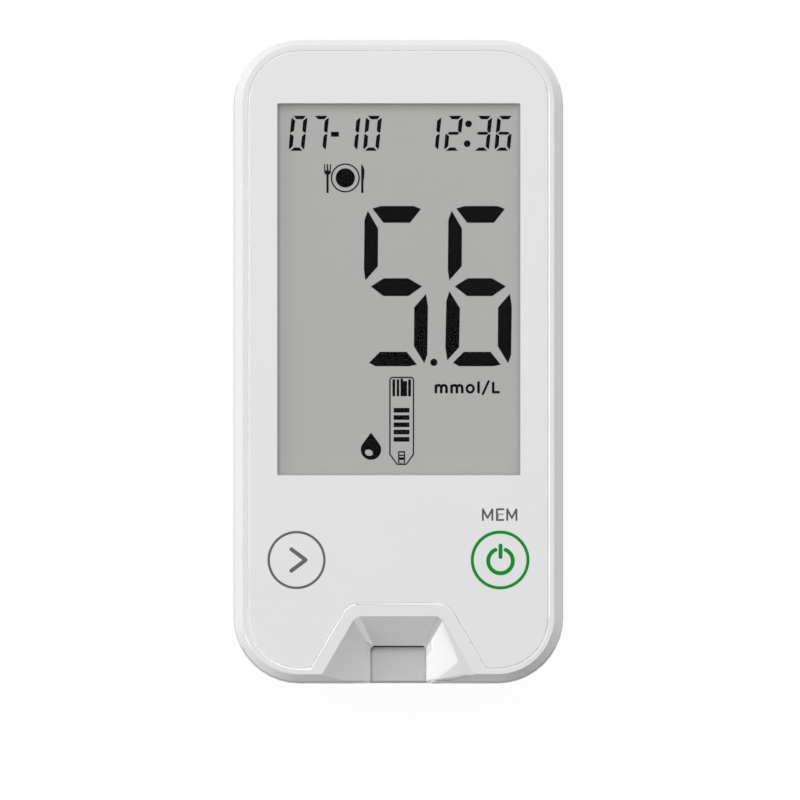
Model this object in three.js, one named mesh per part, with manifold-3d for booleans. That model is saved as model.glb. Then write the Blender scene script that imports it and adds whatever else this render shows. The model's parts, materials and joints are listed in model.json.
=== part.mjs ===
// A handheld blood glucose meter, built as the real one is: two moulded shells, a bonded faceplate with a
// clear window, a liquid crystal display on its board, two push buttons on tactile switches, a funnel shaped
// port for the test strip, and a battery bay for two AAA cells behind a hinged door.
//
// Millimetres. X runs across the meter, Y towards the top of the display and Z up from the back. The origin
// is in the middle of the back face, on which the meter lies.

import * as THREE from "three";
import { mergeVertices } from "three/addons/utils/BufferGeometryUtils.js";
import Module from "manifold-3d";

const wasm = await Module();
wasm.setup();

// Driving dimensions of the face: a chain across the meter and a chain down it
const WINDOW_WIDTH = 37;
const WINDOW_LENGTH = 56.5;
const PLATE_MARGIN_SIDE = 4.3;
const PLATE_MARGIN_TOP = 7.97;
const BUTTON_INSET = 3;
const BUTTON_DROP = 13.03;
const PORT_DROP = 6.55;
const PORT_LENGTH = 12.25;
const PLATE_GAP = 0.06;
const RIM_WIDTH_SIDE = 0.89;
const RIM_WIDTH_TOP = 0.89;
const RIM_WIDTH_BOTTOM = 0.94;
const BEVEL_SIDE = 1.35;
const BEVEL_TOP = 0.75;
const BEVEL_BOTTOM = 1.35;
const BEVEL_HEIGHT = 3.4;
const BEVEL_ROUND = 3;

// Shells
const CASE_CORNER = 10;
const WALL = 1.8;
const FRONT_WALL = 0.8;
const BACK_WALL = 1.5;
const SEAM_GAP = 0.3;
const SIDE_DRAFT = 0.3;
const BACK_ROUND_INSET = 4.5;
const BACK_ROUND_HEIGHT = 8;
const LIP_INSET = 1.05;
const LIP_DEPTH = 1.2;
const LIP_CLEARANCE = 0.15;
const BEAD_LENGTH = 8;
const BEAD_HEIGHT = 0.4;
const BEAD_PROUD = 0.25;
const RIB_THICKNESS = 1.2;

// Faceplate and display
const PLATE_THICKNESS = 0.5;
const ADHESIVE = 0.1;
const LENS_THICKNESS = 0.5;
const LENS_OVERLAP = 1.2;
const LENS_CLEARANCE = 0.15;
const DISPLAY_AIR = 0.1;
const GLASS_THICKNESS = 0.7;
const GLASS_OVERLAP = 0.9;
const GLASS_LEDGE = 2;
const REFLECTOR_THICKNESS = 0.2;
const REFLECTOR_INSET = 0.3;
const FILM_GAP = 0.02;
const FRAME_WALL = 1;
const FRAME_SHELF = 1.2;
const FRAME_CLEARANCE = 0.15;
const STRIP_CONTACT_DEPTH = 1.5;
const ZEBRA_WIDTH = 1.6;
const ZEBRA_END_INSET = 1.5;

// Circuit board
const BOARD_THICKNESS = 1;
const BOARD_CLEARANCE = 0.5;
const BOARD_HEADROOM = 2.36;
const BOARD_SEAT_GAP = 0.3;

// Push buttons and tactile switches
const BUTTON_RADIUS = 4.45;
const BUTTON_CLEARANCE = 0.08;
const BUTTON_TRAVEL = 0.5;
const BUTTON_FLANGE = 0.8;
const BUTTON_FLANGE_THICKNESS = 0.7;
const BUTTON_FLANGE_GAP = 0.2;
const BUTTON_EDGE = 0.15;
const BUTTON_STEM_RADIUS = 1.5;
const COLLAR_CLEARANCE = 0.3;
const COLLAR_WALL = 0.8;
const COLLAR_DEPTH = 1;
const SWITCH_SIZE = 5.2;
const SWITCH_HEIGHT = 1.5;
const SWITCH_FLOOR = 0.3;
const SWITCH_LEG_WIDTH = 0.8;
const SWITCH_LEG_REACH = 0.9;
const SWITCH_LEG_THICKNESS = 0.25;
const PLUNGER_RADIUS = 1.2;
const PLUNGER_CLEARANCE = 0.1;
const TOUCH_GAP = 0.1;

// Strip port
const RECESS_DEPTH = 4.6;
const RECESS_BORDER = 2;
const RECESS_HALF_WIDTH = 6.5;
const MOUTH_MARGIN = 2.65;
const RECESS_CORNER = 1.1;
const RECESS_FOOT_CORNER = 0.45;
const RECESS_SLOPE_RUN = 4.5;
const RECESS_WALL = 1.2;
const STRIP_WIDTH = 8.5;
const SLOT_HEIGHT = 1;
const NOTCH_FOOT_CORNER = 0.5;
const TRAY_THICKNESS = 0.5;
const TRAY_FLANGE = 1.1;
const TRAY_FLANGE_THICKNESS = 0.8;
const TRAY_CLEARANCE = 0.15;
const TRAY_SIDE_GAP = 0.04;
const PORT_CLEARANCE = 0.3;

// Strip connector on the board
const CONNECTOR_FLOOR = 0.6;
const CONNECTOR_SIDE = 2;
const CONNECTOR_LENGTH = 8;
const CONNECTOR_ROOF = 1.3;
const CHANNEL_HEIGHT = 0.7;
const CHANNEL_DEPTH = 6.2;
const CONTACT_COUNT = 4;
const CONTACT_PITCH = 1.9;
const CONTACT_WIDTH = 0.8;
const CONTACT_THICKNESS = 0.22;
const CONTACT_CLEARANCE = 0.15;

// AAA cells and their bay
const CELL_RADIUS = 5.25;
const CELL_LENGTH = 44.5;
const CELL_BUTTON_RADIUS = 1.9;
const CELL_BUTTON_HEIGHT = 1.2;
const CELL_EDGE = 0.5;
const CELL_SPACE = 0.5;
const CELL_CLEARANCE = 0.35;
const CELL_HEADROOM = 0.25;
const SPRING_LENGTH = 4.9;
const SPRING_BASE_RADIUS = 3.3;
const SPRING_TIP_RADIUS = 1.9;
const SPRING_WIRE_RADIUS = 0.28;
const SPRING_TURNS = 4;
const CONTACT_PLATE_THICKNESS = 0.4;
const CONTACT_PLATE_WIDTH = 8;
const CONTACT_PLATE_LOW = 3.4;
const CONTACT_PLATE_HEIGHT = 7.2;
const CONTACT_DIMPLE = 0.15;
const TAIL_WIDTH = 1.6;
const TAIL_CLEARANCE = 0.15;
const BAY_WALL = 1.2;
const BAY_ROOF = 0.9;
const BAY_RISE = 10.3;
const BAY_KEEL_WIDTH = 0.9;
const BAY_KEEL_DEPTH = 1.9;

// Battery door
const DOOR_THICKNESS = 1.4;
const DOOR_SUNK = 0.2;
const DOOR_LEDGE = 1.5;
const DOOR_GAP = 0.25;
const DOOR_CORNER = 1.6;
const DOOR_SEAT = 0.15;
const LEDGE_FLANGE = 1.3;
const LEDGE_THICKNESS = 1.3;
const DOOR_TAB_WIDTH = 4;
const DOOR_TAB_SPACING = 14;
const DOOR_TAB_REACH = 1.9;
const DOOR_TAB_THICKNESS = 0.8;
const DOOR_TAB_SLOT_TOP = 3.5;
const LATCH_WIDTH = 8.4;
const LATCH_LENGTH = 7;
const LATCH_SLIT = 0.6;
const LATCH_NIB_WIDTH = 5;
const LATCH_NIB_DEPTH = 1;
const LATCH_NIB_HEIGHT = 1.1;
const GRIP_COUNT = 3;
const GRIP_PITCH = 1.5;
const GRIP_WIDTH = 0.7;
const GRIP_DEPTH = 0.35;
const THUMB_RADIUS = 9;
const THUMB_DEPTH = 0.9;
const THUMB_OFFSET = 1.5;

// Screws
const CASE_SCREW_RADIUS = 0.9;
const CASE_SCREW_HEAD = 2.2;
const CASE_SCREW_HEAD_HEIGHT = 1.4;
const CASE_SCREW_LENGTH = 7;
const CASE_BOSS_RADIUS = 3.3;
const CASE_BOSS_HEIGHT = 9;
const CASE_BOSS_FLOOR = 1.8;
const CASE_POST_RADIUS = 2.8;
const BOARD_SCREW_RADIUS = 0.7;
const BOARD_SCREW_HEAD = 1.5;
const BOARD_SCREW_HEAD_HEIGHT = 1;
const BOARD_SCREW_LENGTH = 3.6;
const BOARD_POST_RADIUS = 1.9;
const BOARD_POST_TOP_INSET = 2.9;
const BOARD_POST_RISE = 5.2;
const SCREW_CLEARANCE = 0.1;
const HEAD_CLEARANCE = 0.3;
const DRIVE_WIDTH = 0.5;
const DRIVE_DEPTH = 0.6;

// Parts on the underside of the board
const CHIP_SIZE = 7;
const CHIP_HEIGHT = 1;
const CHIP_OFFSET = 11.5;
const CHIP_EDGE = 0.15;
const MEMORY_LENGTH = 5;
const MEMORY_WIDTH = 4;
const CRYSTAL_RADIUS = 1;
const CRYSTAL_LENGTH = 6;
const CRYSTAL_DROP = 5;
const BUZZER_RADIUS = 4;
const BUZZER_HEIGHT = 3;
const BUZZER_DROP = 2.3;
const BUZZER_MOUTH = 0.9;
const SOUND_HOLE_RADIUS = 0.5;
const SOUND_HOLE_CIRCLE = 2.3;
const SOUND_HOLE_COUNT = 6;
const SOUND_COLLAR_WALL = 0.9;

// Faces per round corner, round part, funnel wall and spring curl
const CORNER_STEPS = 10;
const SMALL_CORNER_STEPS = 4;
const ROUND_STEPS = 36;
const SMALL_ROUND_STEPS = 12;
const BACK_STEPS = 6;
const BEVEL_STEPS = 3;
const FUNNEL_STEPS = 4;
const FUNNEL_SIDE_PARTS = 5;
const SPRING_STEPS_PER_TURN = 8;
const SPRING_SIDES = 5;
// A cutter runs this far past the surface that it cuts
const OVERRUN = 1;

// Places down the meter
const caseWidth = WINDOW_WIDTH + 2 * (PLATE_MARGIN_SIDE + PLATE_GAP + RIM_WIDTH_SIDE + BEVEL_SIDE);
const topBorder = BEVEL_TOP + RIM_WIDTH_TOP + PLATE_GAP + PLATE_MARGIN_TOP;
const caseLength = topBorder + WINDOW_LENGTH + BUTTON_DROP + PORT_DROP + PORT_LENGTH;
const windowTopY = caseLength / 2 - topBorder;
const windowBottomY = windowTopY - WINDOW_LENGTH;
const glassHalfX = WINDOW_WIDTH / 2 + GLASS_OVERLAP;
const glassTopY = windowTopY + GLASS_OVERLAP;
const rearGlassBottomY = windowBottomY - GLASS_OVERLAP;
const frontGlassBottomY = rearGlassBottomY - GLASS_LEDGE;
const buttonY = windowBottomY - BUTTON_DROP;
const buttonX = WINDOW_WIDTH / 2 - BUTTON_INSET;
const notchTopY = buttonY - PORT_DROP;
const recessTopY = notchTopY - RECESS_BORDER;
const slotY = recessTopY - RECESS_SLOPE_RUN;
const endY = -caseLength / 2;

// Heights, from the back up to the board
const doorInnerZ = DOOR_SUNK + DOOR_THICKNESS;
const cellZ = doorInnerZ + CELL_HEADROOM + CELL_RADIUS;
const bayRoofZ = cellZ + CELL_RADIUS + CELL_HEADROOM;
const bayTopZ = bayRoofZ + BAY_ROOF;
const boardBottomZ = bayTopZ + BOARD_SEAT_GAP;
const boardTopZ = boardBottomZ + BOARD_THICKNESS;
// Heights, from the board up to the face
const reflectorBottomZ = boardTopZ + BOARD_HEADROOM;
const reflectorTopZ = reflectorBottomZ + REFLECTOR_THICKNESS;
const rearGlassBottomZ = reflectorTopZ + FILM_GAP;
const rearGlassTopZ = rearGlassBottomZ + GLASS_THICKNESS;
const frontGlassBottomZ = rearGlassTopZ + FILM_GAP;
const frontGlassTopZ = frontGlassBottomZ + GLASS_THICKNESS;
const lensBottomZ = frontGlassTopZ + DISPLAY_AIR;
const lensTopZ = lensBottomZ + LENS_THICKNESS;
const pocketFloorZ = lensTopZ;
const plateBottomZ = pocketFloorZ + ADHESIVE;
const topZ = plateBottomZ + PLATE_THICKNESS;
const webBottomZ = pocketFloorZ - FRONT_WALL;
const seamZ = topZ - BEVEL_HEIGHT;
const trayTopZ = topZ - RECESS_DEPTH;

// Battery bay
const cellX = CELL_RADIUS + CELL_SPACE / 2;
const bayHalfWidth = cellX + CELL_RADIUS + CELL_CLEARANCE;
const plateDepth = CONTACT_PLATE_THICKNESS + 2 * TOUCH_GAP;
const bayBottomY = buttonY + BAY_RISE;
const bayLength = CELL_LENGTH + SPRING_LENGTH + 2 * plateDepth + TOUCH_GAP;
const bayTopY = bayBottomY + bayLength;
const recessHalfX = bayHalfWidth + DOOR_LEDGE;
const doorRecessZ = doorInnerZ + DOOR_SEAT;

// Screw places
const caseScrewX = caseWidth / 2 - CASE_CORNER;
const caseScrewY = endY + CASE_CORNER;
const boardScrewYs = [
  ["top", caseLength / 2 - WALL - BOARD_POST_TOP_INSET],
  ["bottom", buttonY + BOARD_POST_RISE],
];

// Materials
const plastic = (color, roughness) => new THREE.MeshStandardMaterial({ color, roughness });
const metal = (color, roughness) => new THREE.MeshStandardMaterial({ color, roughness, metalness: 1 });
const WHITE_SHELL = plastic(0xe6e6e5, 0.42);
const WHITE_PLATE = plastic(0xe3e3e3, 0.5);
const PORT_GREY = plastic(0xd4d4d4, 0.3);
const CLEAR = new THREE.MeshStandardMaterial({
  color: 0xf4f8f8,
  roughness: 0.05,
  transparent: true,
  opacity: 0.25,
});
const DISPLAY_GREY = plastic(0xaeaeac, 0.35);
const FRAME_WHITE = plastic(0xdcdcda, 0.6);
const RUBBER = plastic(0x3a3a3c, 0.8);
const BOARD_GREEN = plastic(0x1f5b3a, 0.45);
const BLACK_PLASTIC = plastic(0x1c1c1e, 0.5);
const STEEL = metal(0xb9bcbf, 0.35);
const NICKEL = metal(0xc9c5bb, 0.25);
const CELL_JACKET = plastic(0x2f3b46, 0.35);

// A closed geometry as a solid that can be joined and cut
function solidOf(geometry) {
  const bare = geometry.clone();
  bare.deleteAttribute("normal");
  bare.deleteAttribute("uv");
  const merged = mergeVertices(bare);
  return new wasm.Manifold(
    new wasm.Mesh({
      numProp: 3,
      vertProperties: merged.attributes.position.array,
      triVerts: new Uint32Array(merged.index.array),
    }),
  );
}

function geometryOf(solid) {
  const mesh = solid.getMesh();
  const geometry = new THREE.BufferGeometry();
  const positions = Float32Array.from(mesh.vertProperties);
  geometry.setAttribute("position", new THREE.BufferAttribute(positions, mesh.numProp));
  geometry.setIndex(new THREE.BufferAttribute(Uint32Array.from(mesh.triVerts), 1));
  geometry.computeVertexNormals();
  return geometry;
}

const join = (...solids) => solids.reduce((whole, next) => whole.add(next));
const cut = (whole, ...cutters) => cutters.reduce((rest, next) => rest.subtract(next), whole);

// An outline from corners given as [x, y, radius]: each corner becomes an arc
function outline(corners, steps = CORNER_STEPS) {
  const points = [];
  corners.forEach(([x, y, radius], i) => {
    const corner = new THREE.Vector2(x, y);
    const [lastX, lastY] = corners.at(i - 1);
    const [nextX, nextY] = corners[(i + 1) % corners.length];
    const back = new THREE.Vector2(lastX, lastY).sub(corner).normalize();
    const ahead = new THREE.Vector2(nextX, nextY).sub(corner).normalize();
    if (radius === 0) {
      points.push(corner);
      return;
    }
    const half = Math.acos(back.dot(ahead)) / 2;
    const reach = radius / Math.tan(half);
    const middle = back.clone().add(ahead).normalize();
    const centre = corner.clone().addScaledVector(middle, radius / Math.sin(half));
    const start = corner.clone().addScaledVector(back, reach).sub(centre).angle();
    const end = corner.clone().addScaledVector(ahead, reach).sub(centre).angle();
    const turn = THREE.MathUtils.euclideanModulo(end - start + Math.PI, 2 * Math.PI) - Math.PI;
    for (let k = 0; k <= steps; k++) {
      const angle = start + (turn * k) / steps;
      points.push(new THREE.Vector2(Math.cos(angle), Math.sin(angle)).multiplyScalar(radius).add(centre));
    }
  });
  return points;
}

function rectangle(left, right, bottom, top, radius = 0, steps = CORNER_STEPS) {
  return outline(
    [
      [left, bottom, radius],
      [right, bottom, radius],
      [right, top, radius],
      [left, top, radius],
    ],
    steps,
  );
}

function circle(x, y, radius, steps = ROUND_STEPS) {
  return Array.from({ length: steps }, (_, k) => {
    const angle = (2 * Math.PI * k) / steps;
    return new THREE.Vector2(x + radius * Math.cos(angle), y + radius * Math.sin(angle));
  });
}

// An outline, with holes in it, raised from one height to another
function prism(points, bottomZ, heightZ, holes = []) {
  const shape = new THREE.Shape(points);
  shape.holes = holes.map((hole) => new THREE.Path(hole));
  const geometry = new THREE.ExtrudeGeometry(shape, { depth: heightZ - bottomZ, bevelEnabled: false });
  return solidOf(geometry.translate(0, 0, bottomZ));
}

function block(left, right, bottom, top, bottomZ, heightZ) {
  return prism(rectangle(left, right, bottom, top), bottomZ, heightZ);
}

function rod(x, y, radius, bottomZ, heightZ, steps = ROUND_STEPS) {
  return prism(circle(x, y, radius, steps), bottomZ, heightZ);
}

// A profile in Y and Z, pulled from one X to another
function slab(points, left, right) {
  const shape = new THREE.Shape(points);
  const geometry = new THREE.ExtrudeGeometry(shape, { depth: right - left, bevelEnabled: false });
  geometry.translate(0, 0, left).rotateY(Math.PI / 2).rotateX(Math.PI / 2);
  return solidOf(geometry);
}

// A closed skin over rings of points, each ring anticlockwise and higher than the last
function loft(rings) {
  const count = rings[0].points.length;
  const positions = rings.flatMap(({ points, z }) => points.flatMap((p) => [p.x, p.y, z]));
  const index = [];
  for (let level = 0; level < rings.length - 1; level++) {
    for (let i = 0; i < count; i++) {
      const low = level * count + i;
      const lowNext = level * count + ((i + 1) % count);
      index.push(low, lowNext, lowNext + count, low, lowNext + count, low + count);
    }
  }
  const top = (rings.length - 1) * count;
  for (const [a, b, c] of THREE.ShapeUtils.triangulateShape(rings[0].points, [])) {
    index.push(a, c, b);
  }
  for (const [a, b, c] of THREE.ShapeUtils.triangulateShape(rings.at(-1).points, [])) {
    index.push(top + a, top + b, top + c);
  }
  const geometry = new THREE.BufferGeometry();
  geometry.setAttribute("position", new THREE.Float32BufferAttribute(positions, 3));
  geometry.setIndex(index);
  return solidOf(geometry);
}

// A profile of [radius, height] pairs, turned about the Z axis
function turned(profile, steps = ROUND_STEPS) {
  const points = profile.map(([radius, height]) => new THREE.Vector2(radius, height));
  return new THREE.LatheGeometry(points, steps).rotateX(Math.PI / 2);
}

// The outline of the case, drawn in by the same amount all round, or by one amount for each edge
function caseOutline(inset, topInset = inset, bottomInset = inset) {
  return rectangle(
    inset - caseWidth / 2,
    caseWidth / 2 - inset,
    endY + bottomInset,
    caseLength / 2 - topInset,
    CASE_CORNER - inset,
  );
}

// The rings of the rear shell: a rounded edge from the back, then a side with a little draft up to the seam
function rearRings(inset, floorZ, heightZ) {
  const rings = [];
  for (let k = 0; k <= BACK_STEPS; k++) {
    const angle = ((k / BACK_STEPS) * Math.PI) / 2;
    rings.push({
      points: caseOutline(inset + SIDE_DRAFT + BACK_ROUND_INSET * (1 - Math.sin(angle))),
      z: floorZ + (BACK_ROUND_HEIGHT - floorZ) * (1 - Math.cos(angle)),
    });
  }
  rings.push({ points: caseOutline(inset), z: heightZ });
  return rings;
}

// The strip port. Its recess is open at the end of the meter, so its outline runs past the end.
const mouthHalfWidth = caseWidth / 2 - CASE_CORNER - MOUTH_MARGIN;
const spreadShare = (mouthHalfWidth - RECESS_HALF_WIDTH) / (PORT_LENGTH - RECESS_BORDER);
const spreadLength = Math.hypot(1, spreadShare);
function portHalfWidth(y, border) {
  return RECESS_HALF_WIDTH + spreadShare * (recessTopY - y) + border * spreadLength;
}

function portOutline(border) {
  const farY = endY - OVERRUN;
  const top = recessTopY + border;
  const corner = RECESS_CORNER + border;
  return outline(
    [
      [-portHalfWidth(farY, border), farY, RECESS_FOOT_CORNER],
      [portHalfWidth(farY, border), farY, RECESS_FOOT_CORNER],
      [portHalfWidth(top, border), top, corner],
      [-portHalfWidth(top, border), top, corner],
    ],
    1,
  );
}

function footOutline(border) {
  const halfWidth = STRIP_WIDTH / 2 + border;
  return rectangle(-halfWidth, halfWidth, endY - OVERRUN, slotY + border, RECESS_FOOT_CORNER + border, 1);
}

// A chamfered outline with each of its sides, but not its chamfers, divided into equal parts
function divided(points) {
  return points.flatMap((point, i) => {
    const parts = i % 2 === 0 ? 1 : FUNNEL_SIDE_PARTS;
    const next = points[(i + 1) % points.length];
    return Array.from({ length: parts }, (_, k) => point.clone().lerp(next, k / parts));
  });
}

// The funnel between the lip of the strip slot and the edge of the recess at the face. Its side walls are
// twisted: they run along the strip at the lip and splay at the face, so each is divided both ways.
function funnel(border, lipZ, heightZ) {
  const foot = divided(footOutline(border));
  const mouth = divided(portOutline(border));
  const rings = [];
  for (let k = 0; k <= FUNNEL_STEPS; k++) {
    const share = k / FUNNEL_STEPS;
    const points = foot.map((point, i) => point.clone().lerp(mouth[i], share));
    rings.push({ points, z: THREE.MathUtils.lerp(lipZ, topZ, share) });
  }
  return loft([...rings, { points: mouth, z: heightZ }]);
}

// The faceplate's outline, grown by a gap to give the pocket that it sits in
function plateOutline(gap) {
  const side = caseWidth / 2 - BEVEL_SIDE - RIM_WIDTH_SIDE - PLATE_GAP + gap;
  const top = caseLength / 2 - BEVEL_TOP - RIM_WIDTH_TOP - PLATE_GAP + gap;
  const bottom = endY + BEVEL_BOTTOM + RIM_WIDTH_BOTTOM + PLATE_GAP - gap;
  const corner = CASE_CORNER - BEVEL_SIDE - RIM_WIDTH_SIDE - PLATE_GAP + gap;
  const border = RECESS_BORDER - gap;
  const notchTop = recessTopY + border;
  const notchCorner = RECESS_CORNER + border;
  return outline([
    [-side, bottom, corner],
    [-portHalfWidth(bottom, border), bottom, NOTCH_FOOT_CORNER],
    [-portHalfWidth(notchTop, border), notchTop, notchCorner],
    [portHalfWidth(notchTop, border), notchTop, notchCorner],
    [portHalfWidth(bottom, border), bottom, NOTCH_FOOT_CORNER],
    [side, bottom, corner],
    [side, top, corner],
    [-side, top, corner],
  ]);
}

function windowOutline(margin) {
  return rectangle(
    -WINDOW_WIDTH / 2 - margin,
    WINDOW_WIDTH / 2 + margin,
    windowBottomY - margin,
    windowTopY + margin,
  );
}

// The rings of the bevel: upright at the seam, rounded over, then straight up to the face
const bevelSpare = BEVEL_ROUND - BEVEL_SIDE;
const bevelReach = Math.hypot(BEVEL_HEIGHT, bevelSpare);
const bevelTurn = Math.asin(BEVEL_ROUND / bevelReach) - Math.atan2(bevelSpare, BEVEL_HEIGHT);
function bevelOutline(share) {
  return caseOutline(share * BEVEL_SIDE, share * BEVEL_TOP, share * BEVEL_BOTTOM);
}

function bevelRings() {
  const rings = [];
  for (let k = 0; k <= BEVEL_STEPS; k++) {
    const angle = (bevelTurn * k) / BEVEL_STEPS;
    const share = (BEVEL_ROUND * (1 - Math.cos(angle))) / BEVEL_SIDE;
    rings.push({ points: bevelOutline(share), z: seamZ + BEVEL_ROUND * Math.sin(angle) });
  }
  return [...rings, { points: bevelOutline(1), z: topZ }];
}

// The whole outside of the meter, which trims what would stand out of it
const outside = join(loft(rearRings(0, 0, seamZ)), loft(bevelRings()));

const meter = new THREE.Group();

function place(name, shape, material, x = 0, y = 0, z = 0) {
  const geometry = shape instanceof THREE.BufferGeometry ? shape : geometryOf(shape);
  const mesh = new THREE.Mesh(geometry, material);
  mesh.name = name;
  mesh.position.set(x, y, z);
  meter.add(mesh);
  return mesh;
}

// Snap beads on the lip of the front shell: [x, y, half length along X, half length along Y]
const beadX = caseWidth / 2 - LIP_INSET;
const beadEndY = caseLength / 2 - LIP_INSET;
const beadPlaces = [
  ...[windowTopY - BEAD_LENGTH, windowBottomY].flatMap((y) => [
    [beadX, y, BEAD_PROUD, BEAD_LENGTH / 2],
    [-beadX, y, BEAD_PROUD, BEAD_LENGTH / 2],
  ]),
  [0, beadEndY, BEAD_LENGTH / 2, BEAD_PROUD],
];

function beads(clearance) {
  const middleZ = seamZ - LIP_DEPTH / 2;
  return beadPlaces.map(([x, y, halfX, halfY]) =>
    block(
      x - halfX - clearance,
      x + halfX + clearance,
      y - halfY - clearance,
      y + halfY + clearance,
      middleZ - BEAD_HEIGHT / 2 - clearance,
      middleZ + BEAD_HEIGHT / 2 + clearance,
    ),
  );
}

// Front shell: bevelled rim, faceplate pocket, window, button wells, lip, screw posts and strip funnel
function makeFrontHousing() {
  const skin = loft(bevelRings());
  const hollow = prism(caseOutline(WALL), seamZ - OVERRUN, webBottomZ);
  const lip = prism(caseOutline(LIP_INSET), seamZ - LIP_DEPTH, seamZ + OVERRUN, [caseOutline(WALL)]);
  const collars = [-buttonX, buttonX].map((x) => {
    const inner = BUTTON_RADIUS + BUTTON_FLANGE + COLLAR_CLEARANCE;
    return prism(circle(x, buttonY, inner + COLLAR_WALL), webBottomZ - COLLAR_DEPTH, pocketFloorZ, [
      circle(x, buttonY, inner),
    ]);
  });
  const caseBossTopZ = CASE_BOSS_HEIGHT + TOUCH_GAP;
  const casePosts = [-caseScrewX, caseScrewX].map((x) =>
    cut(
      rod(x, caseScrewY, CASE_POST_RADIUS, caseBossTopZ, pocketFloorZ),
      rod(x, caseScrewY, CASE_SCREW_RADIUS + SCREW_CLEARANCE, caseBossTopZ - OVERRUN, webBottomZ - OVERRUN),
    ),
  );
  const boardPosts = boardScrewYs.map(([, y]) =>
    cut(
      rod(0, y, BOARD_POST_RADIUS, boardTopZ + TOUCH_GAP, pocketFloorZ),
      rod(0, y, BOARD_SCREW_RADIUS + SCREW_CLEARANCE, boardTopZ, webBottomZ - SCREW_CLEARANCE),
    ),
  );
  const scoopBottomZ = trayTopZ - TRAY_THICKNESS;
  const scoop = join(
    funnel(RECESS_WALL, trayTopZ, topZ + OVERRUN),
    prism(footOutline(RECESS_WALL), scoopBottomZ, trayTopZ),
  ).intersect(outside);
  const recess = funnel(0, trayTopZ + SLOT_HEIGHT, topZ + OVERRUN);
  const foot = prism(footOutline(0), scoopBottomZ - OVERRUN, trayTopZ + SLOT_HEIGHT + TOUCH_GAP);
  const slotHalf = STRIP_WIDTH / 2;
  const slotEndY = slotY + RECESS_WALL + OVERRUN;
  const slotTopZ = trayTopZ + SLOT_HEIGHT;
  const slot = block(-slotHalf, slotHalf, slotY - OVERRUN, slotEndY, scoopBottomZ - OVERRUN, slotTopZ);
  const glassRelief = block(
    -glassHalfX - FRAME_CLEARANCE,
    glassHalfX + FRAME_CLEARANCE,
    frontGlassBottomY - FRAME_CLEARANCE,
    glassTopY + FRAME_CLEARANCE,
    webBottomZ - OVERRUN,
    frontGlassTopZ + TOUCH_GAP,
  );
  const shell = join(cut(skin, hollow), lip, ...beads(0).map((bead) => bead.intersect(outside)), ...collars);
  return cut(
    join(shell, ...casePosts, ...boardPosts, scoop),
    prism(plateOutline(PLATE_GAP), pocketFloorZ, topZ + OVERRUN),
    prism(windowOutline(LENS_OVERLAP + LENS_CLEARANCE), webBottomZ - OVERRUN, topZ),
    glassRelief,
    ...[-buttonX, buttonX].map((x) =>
      rod(x, buttonY, BUTTON_RADIUS + BUTTON_CLEARANCE, webBottomZ - OVERRUN, topZ),
    ),
    recess,
    foot,
    slot,
  );
}

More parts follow.
